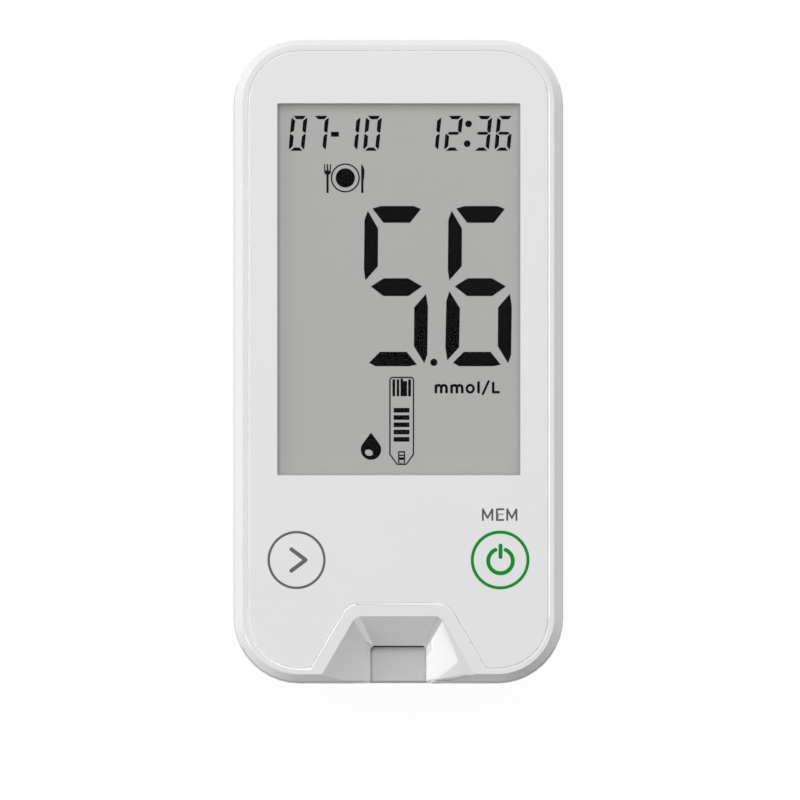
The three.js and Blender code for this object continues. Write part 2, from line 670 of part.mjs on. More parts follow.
// Rear shell: rounded back, battery bay, ledge and slots for the door, bosses, board ribs and sound holes
function makeRearHousing() {
  const rimZ = seamZ - SEAM_GAP;
  const skin = loft(rearRings(0, 0, rimZ));
  const hollow = loft(rearRings(WALL, BACK_WALL, rimZ + OVERRUN));
  const lipEndZ = seamZ - LIP_DEPTH - LIP_CLEARANCE;
  const lipRoom = prism(caseOutline(LIP_INSET - LIP_CLEARANCE), lipEndZ, rimZ + OVERRUN);

  const wallX = bayHalfWidth + BAY_WALL;
  const bay = block(-wallX, wallX, bayBottomY - BAY_WALL, bayTopY + BAY_WALL, DOOR_SUNK, bayTopZ);
  const flange = DOOR_LEDGE + LEDGE_FLANGE;
  const ledge = block(
    -bayHalfWidth - flange,
    bayHalfWidth + flange,
    bayBottomY - flange,
    bayTopY + flange,
    DOOR_SUNK,
    doorRecessZ + LEDGE_THICKNESS,
  );
  const ribs = [bayBottomY, (bayBottomY + bayTopY) / 2, bayTopY].flatMap((y) => {
    const reachX = caseWidth / 2 - WALL / 2;
    const half = RIB_THICKNESS / 2;
    return [
      block(wallX - half, reachX, y - half, y + half, DOOR_SUNK, boardBottomZ - BOARD_SEAT_GAP),
      block(-reachX, half - wallX, y - half, y + half, DOOR_SUNK, boardBottomZ - BOARD_SEAT_GAP),
    ];
  });
  const bosses = [-caseScrewX, caseScrewX].map((x) =>
    rod(x, caseScrewY, CASE_BOSS_RADIUS, DOOR_SUNK, CASE_BOSS_HEIGHT),
  );
  const buzzerY = buttonY - BUZZER_DROP;
  const collarInner = BUZZER_RADIUS + TOUCH_GAP;
  const soundCollar = prism(
    circle(0, buzzerY, collarInner + SOUND_COLLAR_WALL),
    DOOR_SUNK,
    boardBottomZ - BUZZER_HEIGHT - BOARD_SEAT_GAP,
    [circle(0, buzzerY, collarInner)],
  );
  const trim = loft(rearRings(WALL / 2, BACK_WALL / 2, rimZ));
  const inside = join(bay, ledge, ...ribs, ...bosses, soundCollar).intersect(trim);

  const soundHoles = [rod(0, buzzerY, SOUND_HOLE_RADIUS, -OVERRUN, BACK_WALL + OVERRUN, SMALL_ROUND_STEPS)];
  for (let k = 0; k < SOUND_HOLE_COUNT; k++) {
    const angle = (2 * Math.PI * k) / SOUND_HOLE_COUNT;
    const x = SOUND_HOLE_CIRCLE * Math.cos(angle);
    const y = buzzerY + SOUND_HOLE_CIRCLE * Math.sin(angle);
    soundHoles.push(rod(x, y, SOUND_HOLE_RADIUS, -OVERRUN, BACK_WALL + OVERRUN, SMALL_ROUND_STEPS));
  }
  const screwHoles = [-caseScrewX, caseScrewX].flatMap((x) => [
    rod(x, caseScrewY, CASE_SCREW_HEAD + HEAD_CLEARANCE, -OVERRUN, CASE_BOSS_HEIGHT - CASE_BOSS_FLOOR),
    rod(x, caseScrewY, CASE_SCREW_RADIUS + HEAD_CLEARANCE, -OVERRUN, CASE_BOSS_HEIGHT + OVERRUN),
  ]);
  const bayRoom = block(-bayHalfWidth, bayHalfWidth, bayBottomY, bayTopY, -OVERRUN, bayRoofZ);
  const keelHalf = BAY_KEEL_WIDTH / 2;
  const keelBottomZ = bayRoofZ - BAY_KEEL_DEPTH;
  const keel = block(-keelHalf, keelHalf, bayBottomY, bayTopY, keelBottomZ, bayRoofZ + BAY_ROOF / 2);
  const doorRoom = prism(doorOutline(0), -OVERRUN, doorRecessZ);
  const doorEndY = bayTopY + DOOR_LEDGE;
  const tabSlots = tabPlaces.map((x) => {
    const half = DOOR_TAB_WIDTH / 2 + DOOR_GAP;
    const far = doorEndY + DOOR_TAB_REACH + DOOR_GAP;
    return block(x - half, x + half, bayTopY - TOUCH_GAP, far, doorInnerZ - DOOR_SEAT / 2, DOOR_TAB_SLOT_TOP);
  });
  const nibHalf = LATCH_NIB_WIDTH / 2 + DOOR_GAP;
  const nibRoom = block(
    -nibHalf,
    nibHalf,
    bayBottomY - DOOR_LEDGE - DOOR_GAP,
    bayBottomY + TOUCH_GAP,
    doorInnerZ,
    doorInnerZ + LATCH_NIB_HEIGHT + DOOR_GAP,
  );
  const thumb = solidOf(
    new THREE.SphereGeometry(THUMB_RADIUS, ROUND_STEPS, ROUND_STEPS / 2).translate(
      0,
      bayBottomY - DOOR_LEDGE - THUMB_OFFSET,
      THUMB_DEPTH - THUMB_RADIUS,
    ),
  );
  const portRoom = join(
    funnel(RECESS_WALL + PORT_CLEARANCE, trayTopZ, topZ + OVERRUN),
    trayRoom(PORT_CLEARANCE),
  );
  return cut(
    join(cut(skin, hollow, lipRoom), cut(inside, bayRoom), keel),
    ...soundHoles,
    ...screwHoles,
    doorRoom,
    ...tabSlots,
    nibRoom,
    thumb,
    ...tailPlaces.map(([x, y]) => tailSlot(x, y)),
    portRoom,
    ...beads(LIP_CLEARANCE),
  );
}

// The slots in the roof of the bay that let the solder tails of the contact plates through
const plateFarY = bayTopY - TOUCH_GAP - CONTACT_PLATE_THICKNESS;
const plateNearY = bayBottomY + TOUCH_GAP;
const tailPlaces = [
  [-cellX, plateNearY],
  [cellX, plateNearY],
];
function tailSlot(x, y) {
  const half = TAIL_WIDTH / 2 + TAIL_CLEARANCE;
  return block(
    x - half,
    x + half,
    y - TAIL_CLEARANCE,
    y + CONTACT_PLATE_THICKNESS + TAIL_CLEARANCE,
    bayRoofZ - OVERRUN,
    bayTopZ + OVERRUN,
  );
}

// The tray that floors the strip port: a narrow top between the funnel's walls on a wider flange below them
function trayRoom(clearance) {
  const half = STRIP_WIDTH / 2 + RECESS_WALL + clearance;
  const bottomZ = trayTopZ - TRAY_THICKNESS - TOUCH_GAP - TRAY_FLANGE_THICKNESS - clearance;
  return block(-half, half, endY - OVERRUN, slotY + RECESS_WALL + clearance, bottomZ, trayTopZ + TOUCH_GAP);
}

function makePortTray() {
  const topHalf = STRIP_WIDTH / 2 - TRAY_SIDE_GAP;
  const flangeHalf = STRIP_WIDTH / 2 + TRAY_FLANGE;
  const flangeTopZ = trayTopZ - TRAY_THICKNESS - TOUCH_GAP;
  const backY = slotY + RECESS_WALL;
  return join(
    block(-topHalf, topHalf, endY - OVERRUN, backY, flangeTopZ - TOUCH_GAP, trayTopZ),
    block(-flangeHalf, flangeHalf, endY - OVERRUN, backY, flangeTopZ - TRAY_FLANGE_THICKNESS, flangeTopZ),
  ).intersect(outside);
}

// Battery door: a plate with two hinge tabs at its top and a sprung latch with grip grooves at its bottom
const tabPlaces = [-DOOR_TAB_SPACING / 2, DOOR_TAB_SPACING / 2];
function doorOutline(inset) {
  return rectangle(
    inset - recessHalfX,
    recessHalfX - inset,
    bayBottomY - DOOR_LEDGE + inset,
    bayTopY + DOOR_LEDGE - inset,
    DOOR_CORNER - inset,
    SMALL_CORNER_STEPS,
  );
}

function makeBatteryDoor() {
  const plate = prism(doorOutline(DOOR_GAP), DOOR_SUNK, doorInnerZ);
  const endTopY = bayTopY + DOOR_LEDGE;
  const tabTopZ = doorInnerZ + DOOR_TAB_THICKNESS + DOOR_SEAT;
  const tabs = tabPlaces.map((x) => {
    const half = DOOR_TAB_WIDTH / 2;
    const rootY = bayTopY + DOOR_GAP;
    return join(
      block(x - half, x + half, rootY, endTopY - DOOR_GAP, doorInnerZ - DOOR_SEAT, tabTopZ),
      block(x - half, x + half, rootY, endTopY + DOOR_TAB_REACH, doorInnerZ + DOOR_SEAT, tabTopZ),
    );
  });
  const latchY = bayBottomY - DOOR_LEDGE + DOOR_GAP;
  const nibHalf = LATCH_NIB_WIDTH / 2;
  const nib = block(
    -nibHalf,
    nibHalf,
    latchY,
    latchY + LATCH_NIB_DEPTH,
    doorInnerZ - DOOR_SEAT,
    doorInnerZ + LATCH_NIB_HEIGHT,
  );
  const slits = [-LATCH_WIDTH / 2, LATCH_WIDTH / 2].map((x) => {
    const half = LATCH_SLIT / 2;
    return prism(
      rectangle(x - half, x + half, latchY - OVERRUN, latchY + LATCH_LENGTH, half / 2, SMALL_CORNER_STEPS),
      DOOR_SUNK - OVERRUN,
      doorInnerZ + OVERRUN,
    );
  });
  const grips = [];
  for (let k = 0; k < GRIP_COUNT; k++) {
    const y = latchY + GRIP_PITCH * (k + 1);
    const half = (LATCH_WIDTH - LATCH_SLIT) / 2 - GRIP_WIDTH;
    grips.push(block(-half, half, y - GRIP_WIDTH / 2, y + GRIP_WIDTH / 2, -OVERRUN, DOOR_SUNK + GRIP_DEPTH));
  }
  return cut(join(plate, ...tabs, nib), ...slits, ...grips);
}

place("front_housing", makeFrontHousing(), WHITE_SHELL);
place("rear_housing", makeRearHousing(), WHITE_SHELL);
place("battery_door", makeBatteryDoor(), WHITE_SHELL);
place("port_tray", makePortTray(), PORT_GREY);

// Faceplate, with the display window and a round hole for each button
const faceplateHoles = [
  windowOutline(0),
  circle(-buttonX, buttonY, BUTTON_RADIUS + BUTTON_CLEARANCE),
  circle(buttonX, buttonY, BUTTON_RADIUS + BUTTON_CLEARANCE),
];
place("faceplate", prism(plateOutline(0), plateBottomZ, topZ, faceplateHoles), WHITE_PLATE);

// Display: clear lens, two glasses with a contact ledge at the bottom, reflector, frame and zebra strip
place("display_lens", prism(windowOutline(LENS_OVERLAP), lensBottomZ, lensTopZ), CLEAR);
place(
  "lcd_front_glass",
  block(-glassHalfX, glassHalfX, frontGlassBottomY, glassTopY, frontGlassBottomZ, frontGlassTopZ),
  DISPLAY_GREY,
);
place(
  "lcd_rear_glass",
  block(-glassHalfX, glassHalfX, rearGlassBottomY, glassTopY, rearGlassBottomZ, rearGlassTopZ),
  DISPLAY_GREY,
);
place(
  "lcd_reflector",
  block(
    REFLECTOR_INSET - glassHalfX,
    glassHalfX - REFLECTOR_INSET,
    rearGlassBottomY + REFLECTOR_INSET,
    glassTopY - REFLECTOR_INSET,
    reflectorBottomZ,
    reflectorTopZ,
  ),
  STEEL,
);

function makeDisplayFrame() {
  const inner = FRAME_CLEARANCE;
  const outer = FRAME_CLEARANCE + FRAME_WALL;
  const ring = block(
    -glassHalfX - outer,
    glassHalfX + outer,
    frontGlassBottomY - outer,
    glassTopY + outer,
    boardTopZ + TOUCH_GAP,
    webBottomZ - FRAME_CLEARANCE,
  );
  const glassRoom = block(
    -glassHalfX - inner,
    glassHalfX + inner,
    frontGlassBottomY - inner,
    glassTopY + inner,
    reflectorBottomZ - TOUCH_GAP,
    topZ,
  );
  const through = block(
    FRAME_SHELF - glassHalfX,
    glassHalfX - FRAME_SHELF,
    frontGlassBottomY - inner,
    glassTopY - FRAME_SHELF,
    boardTopZ - OVERRUN,
    topZ,
  );
  return cut(ring, glassRoom, through);
}
place("lcd_frame", makeDisplayFrame(), FRAME_WHITE);

const zebraY = rearGlassBottomY - GLASS_LEDGE / 2;
place(
  "zebra_strip",
  new THREE.BoxGeometry(
    2 * (glassHalfX - ZEBRA_END_INSET),
    ZEBRA_WIDTH,
    frontGlassBottomZ - boardTopZ - 2 * FILM_GAP,
  ),
  RUBBER,
  0,
  zebraY,
  (boardTopZ + frontGlassBottomZ) / 2,
);

// Circuit board, cut back to clear the strip port and bored for the posts of the front shell
const boardEndY = slotY + RECESS_WALL + CONNECTOR_FLOOR + TRAY_CLEARANCE;
function makeBoard() {
  const whole = prism(caseOutline(WALL + BOARD_CLEARANCE), boardBottomZ, boardTopZ);
  const past = endY - OVERRUN;
  const portEnd = block(-caseWidth, caseWidth, past, boardEndY, boardBottomZ - OVERRUN, boardTopZ + OVERRUN);
  const bores = [-caseScrewX, caseScrewX].map((x) =>
    rod(x, caseScrewY, CASE_POST_RADIUS + BOARD_CLEARANCE, boardBottomZ - OVERRUN, boardTopZ + OVERRUN),
  );
  const boreRadius = BOARD_SCREW_RADIUS + HEAD_CLEARANCE;
  const screwBores = boardScrewYs.map(([, y]) =>
    rod(0, y, boreRadius, boardBottomZ - OVERRUN, boardTopZ + OVERRUN, SMALL_ROUND_STEPS),
  );
  return cut(whole, portEnd, ...bores, ...screwBores);
}
place("main_board", makeBoard(), BOARD_GREEN);

// Strip connector: a chamfered housing with a channel for the strip and a slot over each contact
const connectorFrontY = boardEndY + TRAY_CLEARANCE;
const connectorBackY = connectorFrontY + CONNECTOR_LENGTH;
const channelBottomZ = trayTopZ;
const channelTopZ = channelBottomZ + CHANNEL_HEIGHT;
const connectorBottomZ = boardTopZ + FILM_GAP;
const connectorTopZ = channelTopZ + CONNECTOR_ROOF;
const contactXs = [];
for (let k = 0; k < CONTACT_COUNT; k++) {
  contactXs.push(CONTACT_PITCH * (k - (CONTACT_COUNT - 1) / 2));
}

function makeConnector() {
  const half = STRIP_WIDTH / 2 + CONNECTOR_SIDE;
  const body = slab(
    [
      new THREE.Vector2(connectorFrontY, connectorBottomZ),
      new THREE.Vector2(connectorBackY, connectorBottomZ),
      new THREE.Vector2(connectorBackY, connectorTopZ),
      new THREE.Vector2(connectorFrontY + CONNECTOR_ROOF, connectorTopZ),
      new THREE.Vector2(connectorFrontY, channelTopZ),
    ],
    -half,
    half,
  );
  const channelHalf = STRIP_WIDTH / 2 - TRAY_CLEARANCE;
  const mouthY = connectorFrontY - OVERRUN;
  const channelEndY = connectorFrontY + CHANNEL_DEPTH;
  const channel = block(-channelHalf, channelHalf, mouthY, channelEndY, channelBottomZ, channelTopZ);
  const slots = contactXs.map((x) => {
    const slotHalf = CONTACT_WIDTH / 2 + CONTACT_CLEARANCE;
    const frontY = connectorFrontY + CONNECTOR_ROOF + CONTACT_CLEARANCE;
    return block(x - slotHalf, x + slotHalf, frontY, connectorBackY + OVERRUN, channelBottomZ, topZ);
  });
  return cut(body, channel, ...slots);
}
place("strip_connector", makeConnector(), BLACK_PLASTIC);

// A spring leaf: a line of points given one thickness, bent down to press on the strip
function leafOutline(points, thickness) {
  const left = [];
  const right = [];
  points.forEach((point, i) => {
    const last = points[Math.max(i - 1, 0)];
    const next = points[Math.min(i + 1, points.length - 1)];
    const along = next.clone().sub(last).normalize();
    const side = new THREE.Vector2(-along.y, along.x).multiplyScalar(thickness / 2);
    left.push(point.clone().add(side));
    right.unshift(point.clone().sub(side));
  });
  return [...right, ...left];
}

function makeContact() {
  const frontY = connectorFrontY + CONNECTOR_ROOF + 3 * CONTACT_CLEARANCE;
  const tailY = connectorBackY + CONTACT_THICKNESS;
  const dipY = frontY + CONTACT_WIDTH;
  const leafTopZ = connectorTopZ - CONTACT_THICKNESS;
  const leaf = [
    new THREE.Vector2(tailY + CONTACT_WIDTH, connectorBottomZ + CONTACT_THICKNESS),
    new THREE.Vector2(tailY, connectorBottomZ + CONTACT_THICKNESS),
    new THREE.Vector2(tailY, leafTopZ),
    new THREE.Vector2((dipY + tailY) / 2, leafTopZ),
    new THREE.Vector2(dipY, channelBottomZ + CHANNEL_HEIGHT / 2),
    new THREE.Vector2(frontY, channelTopZ),
  ];
  return slab(leafOutline(leaf, CONTACT_THICKNESS), -CONTACT_WIDTH / 2, CONTACT_WIDTH / 2);
}
contactXs.forEach((x, k) => place(`strip_contact_${k + 1}`, makeContact(), NICKEL, x));

// Push buttons: a cap with a flange that stops it under the web, on a stem over the plunger of its switch
const flangeTopZ = webBottomZ - BUTTON_FLANGE_GAP;
const flangeBottomZ = flangeTopZ - BUTTON_FLANGE_THICKNESS;
const switchBottomZ = boardTopZ + FILM_GAP;
const switchTopZ = switchBottomZ + SWITCH_HEIGHT;
const plungerBottomZ = switchBottomZ + SWITCH_FLOOR + BUTTON_TRAVEL + TOUCH_GAP;
const plungerTopZ = switchTopZ + BUTTON_TRAVEL + TOUCH_GAP;
const stemBottomZ = plungerTopZ + TOUCH_GAP;

function makeButton() {
  const flangeRadius = BUTTON_RADIUS + BUTTON_FLANGE;
  return turned([
    [0, stemBottomZ],
    [BUTTON_STEM_RADIUS, stemBottomZ],
    [BUTTON_STEM_RADIUS, flangeBottomZ],
    [flangeRadius, flangeBottomZ],
    [flangeRadius, flangeTopZ],
    [BUTTON_RADIUS, flangeTopZ],
    [BUTTON_RADIUS, topZ - BUTTON_EDGE],
    [BUTTON_RADIUS - BUTTON_EDGE, topZ],
    [0, topZ],
  ]);
}

function makeSwitch() {
  const half = SWITCH_SIZE / 2;
  const sides = rectangle(-half, half, -half, half, PLUNGER_RADIUS / 2, SMALL_CORNER_STEPS);
  const body = prism(sides, 0, SWITCH_HEIGHT);
  const boreRadius = PLUNGER_RADIUS + PLUNGER_CLEARANCE;
  const bore = rod(0, 0, boreRadius, SWITCH_FLOOR, SWITCH_HEIGHT + OVERRUN, ROUND_STEPS / 2);
  const legReach = half + SWITCH_LEG_REACH;
  const legHalf = SWITCH_LEG_WIDTH / 2;
  const legs = [-half / 2, half / 2].map((y) =>
    block(-legReach, legReach, y - legHalf, y + legHalf, 0, SWITCH_LEG_THICKNESS),
  );
  return cut(join(body, ...legs), bore);
}

function makePlunger() {
  return turned(
    [
      [0, plungerBottomZ],
      [PLUNGER_RADIUS, plungerBottomZ],
      [PLUNGER_RADIUS, plungerTopZ],
      [0, plungerTopZ],
    ],
    ROUND_STEPS / 2,
  );
}

for (const [key, x] of [
  ["arrow", -buttonX],
  ["power", buttonX],
]) {
  place(`${key}_button`, makeButton(), WHITE_PLATE, x, buttonY);
  place(`${key}_plunger`, makePlunger(), BLACK_PLASTIC, x, buttonY);
  place(`${key}_switch`, makeSwitch(), BLACK_PLASTIC, x, buttonY, switchBottomZ);
}

// Parts on the underside of the board
const undersideZ = boardBottomZ - FILM_GAP;
function makeChip(length, width, height) {
  const half = length / 2;
  const low = rectangle(-half, half, -width / 2, width / 2);
  const small = rectangle(CHIP_EDGE - half, half - CHIP_EDGE, CHIP_EDGE - width / 2, width / 2 - CHIP_EDGE);
  return loft([
    { points: small, z: -height },
    { points: low, z: CHIP_EDGE - height },
    { points: low, z: 0 },
  ]);
}
const processor = makeChip(CHIP_SIZE, CHIP_SIZE, CHIP_HEIGHT);
const memory = makeChip(MEMORY_LENGTH, MEMORY_WIDTH, CHIP_HEIGHT);
place("processor_chip", processor, BLACK_PLASTIC, -CHIP_OFFSET, buttonY, undersideZ);
place("memory_chip", memory, BLACK_PLASTIC, CHIP_OFFSET, buttonY, undersideZ);
const crystal = place(
  "clock_crystal",
  new THREE.CylinderGeometry(CRYSTAL_RADIUS, CRYSTAL_RADIUS, CRYSTAL_LENGTH, SMALL_ROUND_STEPS),
  STEEL,
  CHIP_OFFSET,
  buttonY + CRYSTAL_DROP,
  undersideZ - CRYSTAL_RADIUS,
);
crystal.rotation.z = Math.PI / 2;

place(
  "buzzer",
  turned([
    [0, BUZZER_MOUTH - BUZZER_HEIGHT],
    [BUZZER_MOUTH, BUZZER_MOUTH - BUZZER_HEIGHT],
    [BUZZER_MOUTH, -BUZZER_HEIGHT],
    [BUZZER_RADIUS, -BUZZER_HEIGHT],
    [BUZZER_RADIUS, 0],
    [0, 0],
  ]),
  BLACK_PLASTIC,
  0,
  buttonY - BUZZER_DROP,
  undersideZ,
);

// AAA cells, lying head to tail so that one strip of metal links them
function makeCell() {
  const can = CELL_LENGTH - CELL_BUTTON_HEIGHT;
  const profile = [
    [0, 0],
    [CELL_RADIUS - CELL_EDGE, 0],
    [CELL_RADIUS, CELL_EDGE],
    [CELL_RADIUS, can - CELL_EDGE],
    [CELL_RADIUS - CELL_EDGE, can],
    [CELL_BUTTON_RADIUS, can],
    [CELL_BUTTON_RADIUS, CELL_LENGTH],
    [0, CELL_LENGTH],
  ];
  const points = profile.map(([radius, height]) => new THREE.Vector2(radius, height));
  return new THREE.LatheGeometry(points, ROUND_STEPS);
}
const cellFootY = bayBottomY + plateDepth + SPRING_LENGTH;
const cellHeadY = bayTopY - plateDepth - SPRING_LENGTH;
place("battery_left", makeCell(), CELL_JACKET, -cellX, cellFootY, cellZ);
place("battery_right", makeCell(), CELL_JACKET, cellX, cellHeadY, cellZ).rotation.z = Math.PI;

// A coiled contact spring, wide at its plate and narrow at the cell, with a wire of one unbroken tube
class ConeCoil extends THREE.Curve {
  getPoint(t) {
    const radius = THREE.MathUtils.lerp(SPRING_BASE_RADIUS, SPRING_TIP_RADIUS, t);
    const angle = 2 * Math.PI * SPRING_TURNS * t;
    const run = SPRING_LENGTH - 2 * (SPRING_WIRE_RADIUS + TOUCH_GAP);
    const y = SPRING_WIRE_RADIUS + TOUCH_GAP + run * t;
    return new THREE.Vector3(radius * Math.cos(angle), y, radius * Math.sin(angle));
  }
}

function makeSpring() {
  const steps = SPRING_TURNS * SPRING_STEPS_PER_TURN;
  const section = new THREE.Shape(circle(0, 0, SPRING_WIRE_RADIUS, SPRING_SIDES));
  return new THREE.ExtrudeGeometry(section, { steps, extrudePath: new ConeCoil(), bevelEnabled: false });
}

// The least gap between one turn of the coil and another, measured on points along the wire
function leastCoilGap() {
  const samples = SPRING_TURNS * ROUND_STEPS;
  const wire = new ConeCoil();
  const points = Array.from({ length: samples + 1 }, (_, i) => wire.getPoint(i / samples));
  let least = Infinity;
  points.forEach((point, i) => {
    for (let j = i + ROUND_STEPS / 2; j < points.length; j++) {
      least = Math.min(least, point.distanceTo(points[j]) - 2 * SPRING_WIRE_RADIUS);
    }
  });
  return least;
}
console.log(`least gap between turns of a battery spring: ${leastCoilGap().toFixed(2)} mm`);
const springFootY = bayBottomY + plateDepth - TOUCH_GAP;
const springHeadY = bayTopY - plateDepth + TOUCH_GAP;
place("battery_spring_bottom", makeSpring(), STEEL, -cellX, springFootY, cellZ);
place("battery_spring_top", makeSpring(), STEEL, cellX, springHeadY, cellZ).rotation.z = Math.PI;

// Contact plates: one strip links the cells at the top, and two with solder tails stand at the bottom
function plateBlank(left, right, y) {
  const highZ = CONTACT_PLATE_LOW + CONTACT_PLATE_HEIGHT;
  return block(left, right, y, y + CONTACT_PLATE_THICKNESS, CONTACT_PLATE_LOW, highZ);
}

function tail(x, y) {
  const half = TAIL_WIDTH / 2;
  const low = CONTACT_PLATE_LOW + CONTACT_PLATE_HEIGHT / 2;
  return block(x - half, x + half, y, y + CONTACT_PLATE_THICKNESS, low, boardBottomZ - TOUCH_GAP);
}
const plateHalf = CONTACT_PLATE_WIDTH / 2;
const dimpleRadius = CELL_BUTTON_RADIUS;
function dimple(x, y) {
  const blank = new THREE.CylinderGeometry(dimpleRadius, dimpleRadius, CONTACT_DIMPLE, SMALL_ROUND_STEPS);
  return solidOf(blank.translate(x, y, cellZ));
}
place(
  "link_plate",
  join(plateBlank(-cellX - plateHalf, cellX + plateHalf, plateFarY), dimple(-cellX, plateFarY)),
  NICKEL,
);
place(
  "negative_plate",
  join(plateBlank(-cellX - plateHalf, plateHalf - cellX, plateNearY), tail(-cellX, plateNearY)),
  NICKEL,
);
place(
  "positive_plate",
  join(
    plateBlank(cellX - plateHalf, cellX + plateHalf, plateNearY),
    tail(cellX, plateNearY),
    dimple(cellX, plateNearY + CONTACT_PLATE_THICKNESS),
  ),
  NICKEL,
);

// Screws with a cross recess, heads down towards the back
function makeScrew(radius, headRadius, headHeight, length) {
  const blank = solidOf(
    turned(
      [
        [0, -headHeight],
        [headRadius - DRIVE_WIDTH, -headHeight],
        [headRadius, DRIVE_WIDTH - headHeight],
        [headRadius, 0],
        [radius, 0],
        [radius, length - radius],
        [0, length],
      ],
      ROUND_STEPS / 2,
    ),
  );
  const arm = headRadius - DRIVE_WIDTH;
  const half = DRIVE_WIDTH / 2;
  const low = -headHeight - OVERRUN;
  const high = DRIVE_DEPTH - headHeight;
  return cut(blank, block(-arm, arm, -half, half, low, high), block(-half, half, -arm, arm, low, high));
}
const caseSeatZ = CASE_BOSS_HEIGHT - CASE_BOSS_FLOOR - TOUCH_GAP;
for (const [side, x] of [
  ["left", -caseScrewX],
  ["right", caseScrewX],
]) {
  const screw = makeScrew(CASE_SCREW_RADIUS, CASE_SCREW_HEAD, CASE_SCREW_HEAD_HEIGHT, CASE_SCREW_LENGTH);
  place(`case_screw_${side}`, screw, STEEL, x, caseScrewY, caseSeatZ);
}
for (const [end, y] of boardScrewYs) {
  const screw = makeScrew(BOARD_SCREW_RADIUS, BOARD_SCREW_HEAD, BOARD_SCREW_HEAD_HEIGHT, BOARD_SCREW_LENGTH);
  place(`board_screw_${end}`, screw, STEEL, 0, y, undersideZ);
}

export default meter;
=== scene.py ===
# %% [markdown]
# A blood glucose meter, dressed for its picture.
#
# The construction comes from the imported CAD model, which is loaded as a fixed frame. This file adds what a
# viewer sees: softened edges, the printed marks, the picture in the display, the battery sleeves and the
# finish of every surface. Blender works in metres, so sizes are written in millimetres times MM. The back of
# the meter lies on the floor at height 0, the display looks up, and the strip port points along -Y.

# %% Load the frame
import json
import math

import bmesh
import bpy
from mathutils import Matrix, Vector


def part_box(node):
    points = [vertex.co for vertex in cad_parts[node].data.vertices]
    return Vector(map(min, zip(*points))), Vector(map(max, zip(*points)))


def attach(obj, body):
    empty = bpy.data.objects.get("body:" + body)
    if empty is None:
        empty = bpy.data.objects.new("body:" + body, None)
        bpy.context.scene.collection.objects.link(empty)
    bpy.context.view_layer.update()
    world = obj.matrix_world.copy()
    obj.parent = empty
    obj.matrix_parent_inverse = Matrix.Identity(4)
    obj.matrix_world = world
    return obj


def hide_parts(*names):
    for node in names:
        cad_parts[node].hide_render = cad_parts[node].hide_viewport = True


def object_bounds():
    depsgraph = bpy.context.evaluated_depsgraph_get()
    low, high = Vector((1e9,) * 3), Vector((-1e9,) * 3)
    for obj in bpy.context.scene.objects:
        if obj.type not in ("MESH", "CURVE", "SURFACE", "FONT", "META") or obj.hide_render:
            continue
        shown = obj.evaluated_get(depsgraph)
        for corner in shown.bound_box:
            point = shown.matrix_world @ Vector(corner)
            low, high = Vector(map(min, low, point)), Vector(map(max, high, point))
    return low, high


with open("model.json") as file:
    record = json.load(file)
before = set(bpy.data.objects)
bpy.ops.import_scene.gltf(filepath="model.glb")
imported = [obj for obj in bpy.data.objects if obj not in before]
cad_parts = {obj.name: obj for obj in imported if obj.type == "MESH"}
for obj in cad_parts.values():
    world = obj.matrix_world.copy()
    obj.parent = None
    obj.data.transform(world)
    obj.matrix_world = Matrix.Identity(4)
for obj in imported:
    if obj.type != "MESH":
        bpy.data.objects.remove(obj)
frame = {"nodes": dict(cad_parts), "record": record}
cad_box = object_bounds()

MM = 0.001
scene = bpy.context.scene
low, high = cad_box
print("the CAD model measures", [round(side / MM, 2) for side in high - low], "mm")

# %% [markdown]
# The camera comes first, because everything after it is judged through it. The picture was taken from
# straight above with hardly any perspective: both long sides run parallel and no side wall shows. An
# orthographic camera gives just that. Its scale follows from the length of the meter in the picture, and its
# place from where the middle of the meter lies in the frame.

# %% Camera
PICTURE_SIZE = 800
LENGTH_IN_PICTURE = 643.5
MIDDLE_ACROSS = 398.37
MIDDLE_DOWN = 361.75
CAMERA_HEIGHT = 300 * MM

pixel = (high.y - low.y) / LENGTH_IN_PICTURE
camera_data = bpy.data.cameras.new("camera")
camera_data.type = "ORTHO"
camera_data.ortho_scale = PICTURE_SIZE * pixel
camera = bpy.data.objects.new("camera", camera_data)
camera.location = (
    (PICTURE_SIZE / 2 - MIDDLE_ACROSS) * pixel,
    (MIDDLE_DOWN - PICTURE_SIZE / 2) * pixel,
    CAMERA_HEIGHT,
)
scene.collection.objects.link(camera)
scene.camera = camera
scene.view_settings.view_transform = "Standard"
print("one pixel is", round(pixel / MM, 4), "mm")

# %% [markdown]
# White plastic shows its shape only through light that differs from side to side. The brightest light is a
# wide low box at the left: it whitens the bevels that face it, and the polished right wall of the strip port
# mirrors it as a white patch. Smaller boxes overhead give the face its even tone and the window its narrow
# shadow, one at the top and two at the upper right lift those sides, and only a weak one stands towards the
# strip end, so the bevel there is the darkest. Each box is given by the direction that it shines from, its
# width and height in metres, and the share that it adds to a surface that faces it. Together with the sky
# they come to about 1 on the face, so a colour renders about as it is written.

# %% Lamps
LAMP_DISTANCE = 2.0
LAMPS = {
    "left_box": ((-0.94, 0.03, 0.34), 2.1, 1.2, 0.62),
    "overhead_box": ((-0.35, 0.27, 0.90), 0.7, 0.7, 0.30),
    "near_box": ((-0.28, -0.36, 0.89), 0.7, 0.7, 0.055),
    "top_box": ((-0.10, 0.80, 0.60), 0.7, 0.7, 0.145),
    "right_box": ((0.36, 0.54, 0.76), 0.7, 0.7, 0.29),
    "low_right_box": ((0.74, 0.52, 0.42), 0.7, 0.7, 0.155),
}
middle = (low + high) / 2

